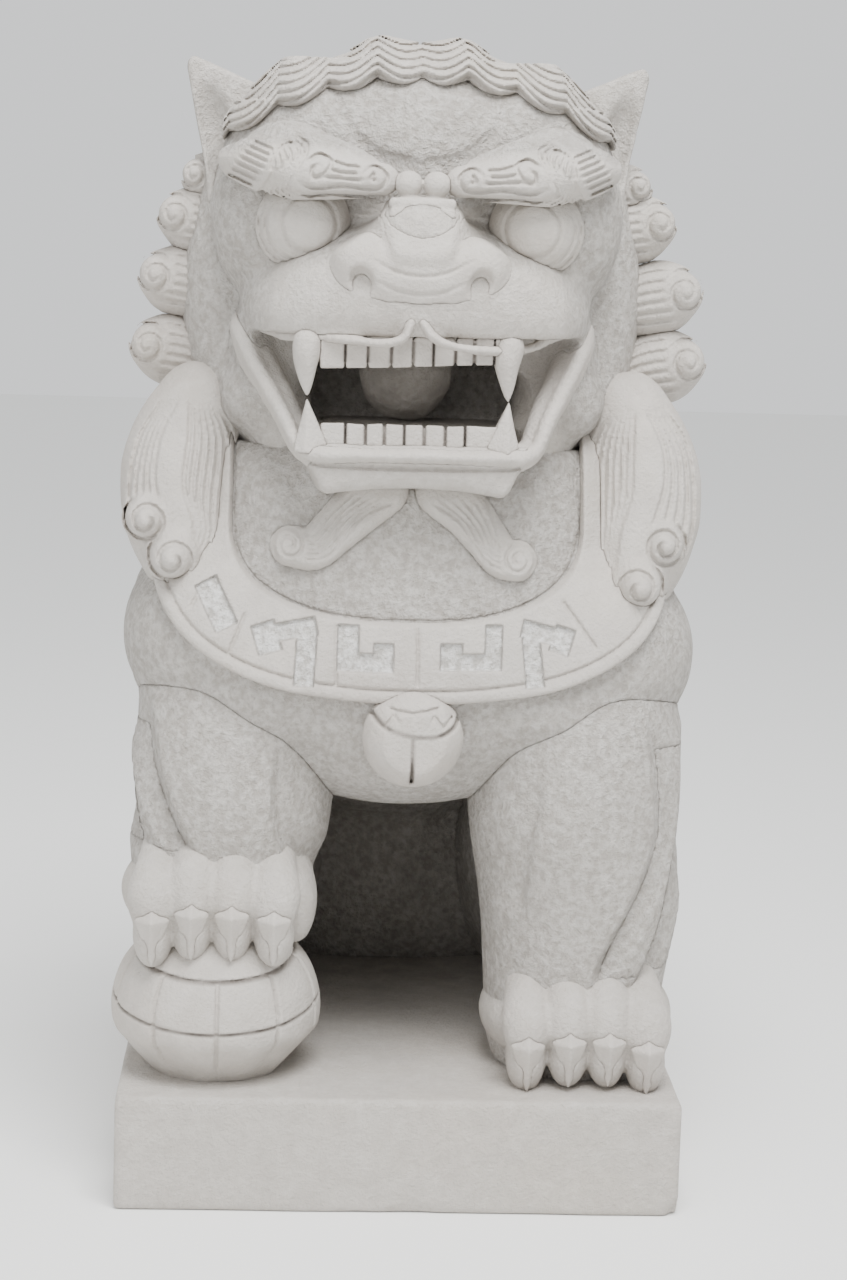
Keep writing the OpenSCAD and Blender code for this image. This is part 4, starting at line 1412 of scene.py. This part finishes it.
spots = []
for row in range(NAPE_ROWS):
    count = 4 + row % 2
    out = 1 - 0.03 * (NAPE_ROWS - 1 - row)
    for i in range(count):
        turn = math.radians((i - (count - 1) / 2) * NAPE_TURN)
        y = 22 + 14 * row + 116 * out * math.cos(turn)
        spots.append((204 * out * math.sin(turn), y, 1048 - 96 * row, turn))

points, quads = [], []
for x, y, z, turn in spots:
    c, s = math.cos(turn), math.sin(turn)
    flip = 1 if x >= 0 else -1
    local = one * [flip, 1, 1]
    quads.append((faces if flip > 0 else faces[:, ::-1]) + len(one) * len(points))
    points.append(local @ np.array([[c, -s, 0], [s, c, 0], [0, 0, 1]]) + [x, y, z])
points, quads = np.vstack(points), np.vstack(quads)


def read_dome(where):
    """The field of the nearest dome, for points of all the curls."""
    return dome.read(np.tile(one, (len(spots), 1)) + (where - points))


curls = finish_piece("stone_nape_curls", points, quads, read_dome, 0.2)
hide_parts("nape_curls")
print("nape curls:", len(spots))

# %% [markdown]
# ## The loose pearl
#
# The pearl was freed inside the mouth by working through the gap between the teeth, so it is roughest of all:
# a ball of short chisel faces, each dent painted dark for soot and fine dirt and for the shade in it. It rides
# on its own body.

# %% Pearl
PEARL = (-8, -178, 846.4)
PEARL_R = 49

pearl_cuts = []
for k in range(60):
    height = 1 - 2 * (k + 0.5) / 60
    a = k * 2.39996
    ring = math.sqrt(1 - height * height)
    way = (ring * math.cos(a), ring * math.sin(a), height)
    reach = PEARL_R - 0.4 - rng.uniform(0, 3.2)
    pearl_cuts.append((tuple(PEARL[i] + reach * way[i] for i in range(3)), way))
pearl_block = Block((-62, -232, 792), (46, -124, 902), 1.6)
pearl_block.add("mouth_pearl", within(egg(PEARL, (98, 98, 98)), facets(pearl_cuts, (-62, -232, 792),
                                                                      (46, -124, 902), 1.5), 1))
lift_out(pearl_block, "mouth_pearl", 0.6, body="pearl")

# %% [markdown]
# ## The plinth
#
# A plain block, sawn and ground, with edges that have lost small chips in handling.

# %% Plinth
CHIPS = [((12, -384, 2), (70, 16, 14)), ((-40, -382, 0), (40, 10, 8)), ((-291, -340, 90), (8, 30, 16)),
         ((291, -200, 118), (8, 50, 8)), ((160, -381, 119), (60, 6, 5)), ((-120, -381, 120), (34, 5, 4)),
         ((288, -378, 4), (18, 16, 22)), ((-288, -379, 118), (12, 14, 10))]
plinth = Block((-300, -392, -10), (300, 392, 130), 4)
plinth.add("plinth", slab((-290, -380, 0), (290, 380, 120), 5))
for centre, size in CHIPS:
    plinth.cut(egg(centre, size), 3)
plinth.rough(50, 0.6)
lift_out(plinth, "plinth", 0.3)
print("pieces:", len(pieces))

# %% [markdown]
# ## Granite
#
# All of the statue is one fine-grained warm grey granite. What differs is how its surface was worked: the bush
# hammer bruises it into small pale pits, grinding leaves it even, and the point leaves it white and jagged.
# Dust gathers in the grooves and shade falls in them, and both are painted there as one darker colour. Soot,
# damp and shade are painted dark under the belly and in the mouth, and edges are rubbed pale.

# %% Colours and a function that adds a node
def srgb(code):
    """A colour from its hex code, as the linear values that a shader takes."""
    parts = [int(code[i:i + 2], 16) / 255 for i in (1, 3, 5)]
    return tuple(p / 12.92 if p <= 0.04045 else ((p + 0.055) / 1.055) ** 2.4 for p in parts) + (1.0,)


def add(tree, kind, into=None, **settings):
    """Add a node. into maps its inputs to values or to sockets of other nodes."""
    new = tree.nodes.new("ShaderNode" + kind)
    for key, value in settings.items():
        setattr(new, key, value)
    for key, value in (into or {}).items():
        if isinstance(value, bpy.types.NodeSocket):
            tree.links.new(value, new.inputs[key])
        else:
            new.inputs[key].default_value = value
    return new


def mixed(tree, share, a, b, how="MIX"):
    """The colour between a and b."""
    return add(tree, "Mix", {0: share, 6: a, 7: b}, data_type="RGBA", blend_type=how).outputs[2]


def ramp(tree, value, low, high, to_low=0.0, to_high=1.0):
    """A value stretched from one range to another and held there."""
    return add(tree, "MapRange", {"Value": value, "From Min": low, "From Max": high,
                                  "To Min": to_low, "To Max": to_high}).outputs[0]


def product(tree, a, b):
    return add(tree, "Math", {0: a, 1: b}, operation="MULTIPLY").outputs[0]


def noise(tree, where, size_mm, detail=2.0, rough=0.5):
    """Noise whose features are size_mm across."""
    return add(tree, "TexNoise", {"Vector": where, "Scale": 1000 / size_mm, "Detail": detail,
                                  "Roughness": rough}).outputs[0]


# %% One function for the three kinds of surface
def granite(name, base, bruise, dust_and_shade_depth):
    """Granite. bruise is how strongly the tool marks show; the last argument is how dark the hollows are
    painted, for the fine dirt there and for the shade that falls in them.
    """
    stone = bpy.data.materials.new(name)
    stone.use_nodes = True
    tree = stone.node_tree
    shader = tree.nodes["Principled BSDF"]
    where = add(tree, "TexCoord").outputs["Object"]
    carving = add(tree, "Attribute", attribute_name="carving")
    parts = add(tree, "SeparateColor", {0: carving.outputs["Color"]}).outputs
    hollow, edge, hammered, pecked = parts[0], parts[1], parts[2], carving.outputs["Alpha"]
    soot_and_shade = add(tree, "Attribute", attribute_name="soot_and_shade").outputs["Fac"]

    ochre = ramp(tree, noise(tree, where, 150, 3), 0.50, 0.72)
    rose = ramp(tree, noise(tree, where, 260, 2), 0.46, 0.70)
    colour = mixed(tree, product(tree, ochre, 0.38), srgb(base), srgb("#CDBFA6"))
    colour = mixed(tree, product(tree, rose, 0.35), colour, srgb("#C6B7B0"))

    crystals = add(tree, "TexVoronoi", {"Vector": where, "Scale": 1000 / 2.6}).outputs["Color"]
    grain = ramp(tree, add(tree, "SeparateColor", {0: crystals}).outputs[0], 0, 1, 0.94, 1.05)
    colour = mixed(tree, 1.0, colour, add(tree, "CombineColor", {0: grain, 1: grain, 2: grain}).outputs[0],
                   "MULTIPLY")

    pits = noise(tree, where, 8, 5, 0.68)
    marks = ramp(tree, pits, 0.40, 0.60)
    pitted = mixed(tree, marks, srgb("#B2AAA1"), srgb("#FBF8F3"))
    colour = mixed(tree, product(tree, hammered, 0.85 * bruise), colour, pitted)
    pointed = mixed(tree, marks, srgb("#B9B4AC"), srgb("#FBFAF8"))
    colour = mixed(tree, product(tree, pecked, 0.95), colour, pointed)

    patchy = ramp(tree, noise(tree, where, 24, 3), 0.2, 0.7, 0.6, 1.0)
    # Hollows are painted darker, for the fine dirt that settles there and for the shade that falls in them.
    dust_and_shade = product(tree, ramp(tree, hollow, 0.16, 0.62), patchy)
    clean = add(tree, "Math", {0: 1.0, 1: pecked}, operation="SUBTRACT").outputs[0]
    colour = mixed(tree, product(tree, product(tree, dust_and_shade, clean), dust_and_shade_depth), colour, srgb("#857A6E"))
    colour = mixed(tree, product(tree, ramp(tree, edge, 0.25, 0.8), 0.30), colour, srgb("#E2DFDA"))
    streaks = ramp(tree, noise(tree, where, 34, 4, 0.65), 0.30, 0.66, 0.55, 1.0)
    # Painted shade with soot and damp in the mouth and under the belly, and the darkened cuts.
    colour = mixed(tree, product(tree, soot_and_shade, streaks), colour, srgb("#40362E"))

    fine = product(tree, noise(tree, where, 4, 4, 0.65), 0.16)
    coarse = add(tree, "Math", {0: hammered, 1: pecked}, operation="ADD").outputs[0]
    strong = product(tree, product(tree, pits, coarse), bruise)
    height = add(tree, "Math", {0: strong, 1: fine}, operation="ADD").outputs[0]
    bump = add(tree, "Bump", {"Strength": 0.9, "Distance": 13 * MM, "Height": height})
    tree.links.new(colour, shader.inputs["Base Color"])
    tree.links.new(bump.outputs[0], shader.inputs["Normal"])
    tree.links.new(ramp(tree, hammered, 0, 1, 0.78, 0.92), shader.inputs["Roughness"])
    shader.inputs["Specular IOR Level"].default_value = 0.3
    return stone


BUSH_HAMMERED = granite("granite_bush_hammered", "#C9C4BC", 1.0, 0.55)
GROUND = granite("granite_ground_with_carborundum", "#CBC6BF", 0.8, 0.62)
# Stone in the mouth has its hollows painted darker still, for soot and for the deeper shade there.
IN_THE_MOUTH = granite("granite_point_chiselled_soot_and_shade", "#C6BBAD", 1.2, 0.85)

HAMMERED_PIECES = ["torso", "rump", "haunch_left", "haunch_right",
                   "foreleg_left", "foreleg_right", "leg_fringe_left", "leg_fringe_right", "head", "throat",
                   "breast", "ear_left", "ear_right", "mane_back"]
MOUTH_PIECES = ["tongue", "mouth_pearl"]
for name, piece in pieces.items():
    part = name.removeprefix("stone_")
    if part in HAMMERED_PIECES:
        stone, slot = BUSH_HAMMERED, "bush_hammered_stone"
    elif part in MOUTH_PIECES:
        stone, slot = IN_THE_MOUTH, "stone_in_the_mouth"
    else:
        stone, slot = GROUND, "ground_stone"
    piece.data.materials.append(stone)
print("granites:", BUSH_HAMMERED.name, GROUND.name, IN_THE_MOUTH.name)

# %% [markdown]
# ## Camera, floor and light
#
# The statue stands on a white ground under a bright, even sky. A soft lamp above it and a weaker one at the
# front left model the masses.

# %% Camera
LENS_MM = 78
EYE_AT = Vector((-0.108, -3.098, 1.010))
YAW, PITCH, ROLL = (math.radians(a) for a in (2.5, 8.67, 1.64))

camera = bpy.data.objects.new("camera", bpy.data.cameras.new("camera"))
camera.data.lens = LENS_MM
camera.data.sensor_width = 36
ahead = Vector((math.sin(YAW) * math.cos(PITCH), math.cos(YAW) * math.cos(PITCH), -math.sin(PITCH)))
level = ahead.cross(Vector((0, 0, 1))).normalized()
upward = level.cross(ahead)
aside = level * math.cos(ROLL) + upward * math.sin(ROLL)
upward = upward * math.cos(ROLL) - level * math.sin(ROLL)
camera.matrix_world = Matrix.Translation(EYE_AT) @ Matrix((aside, upward, -ahead)).transposed().to_4x4()
bpy.context.scene.collection.objects.link(camera)
bpy.context.scene.camera = camera

# %% Floor and light
def stage_piece(name, data, at=(0, 0, 0), towards=None):
    thing = bpy.data.objects.new(name, data)
    thing.location = at
    if towards:
        thing.rotation_euler = (Vector(towards) - thing.location).to_track_quat("-Z", "Y").to_euler()
    bpy.context.scene.collection.objects.link(thing)
    return thing


ground = bpy.data.meshes.new("white_ground")
ground.from_pydata([(-12, -12, 0), (12, -12, 0), (12, 12, 0), (-12, 12, 0)], [], [(0, 1, 2, 3)])
white = bpy.data.materials.new("white_backdrop_card")
white.use_nodes = True
white.node_tree.nodes["Principled BSDF"].inputs["Base Color"].default_value = srgb("#F4F4F2")
white.node_tree.nodes["Principled BSDF"].inputs["Roughness"].default_value = 0.9
ground.materials.append(white)
stage_piece("white_ground", ground)

LIGHTS = [  # name, side in metres, watts, place, aim
    ("overhead", 1.8, 210, (0.4, -1.7, 3.6), (0, -0.1, 0.7)),
    ("front_left", 2.0, 40, (-2.0, -3.4, 1.9), (0, 0, 0.6)),
]
for name, size, watts, at, aim in LIGHTS:
    lamp = bpy.data.lights.new(name, "AREA")
    lamp.size = size
    lamp.energy = watts
    stage_piece(name, lamp, at, aim)
sky = bpy.data.worlds.new("bright_overcast")
sky.use_nodes = True
sky.node_tree.nodes["Background"].inputs[0].default_value = (0.97, 0.985, 1.0, 1)
sky.node_tree.nodes["Background"].inputs[1].default_value = 1.05
bpy.context.scene.world = sky
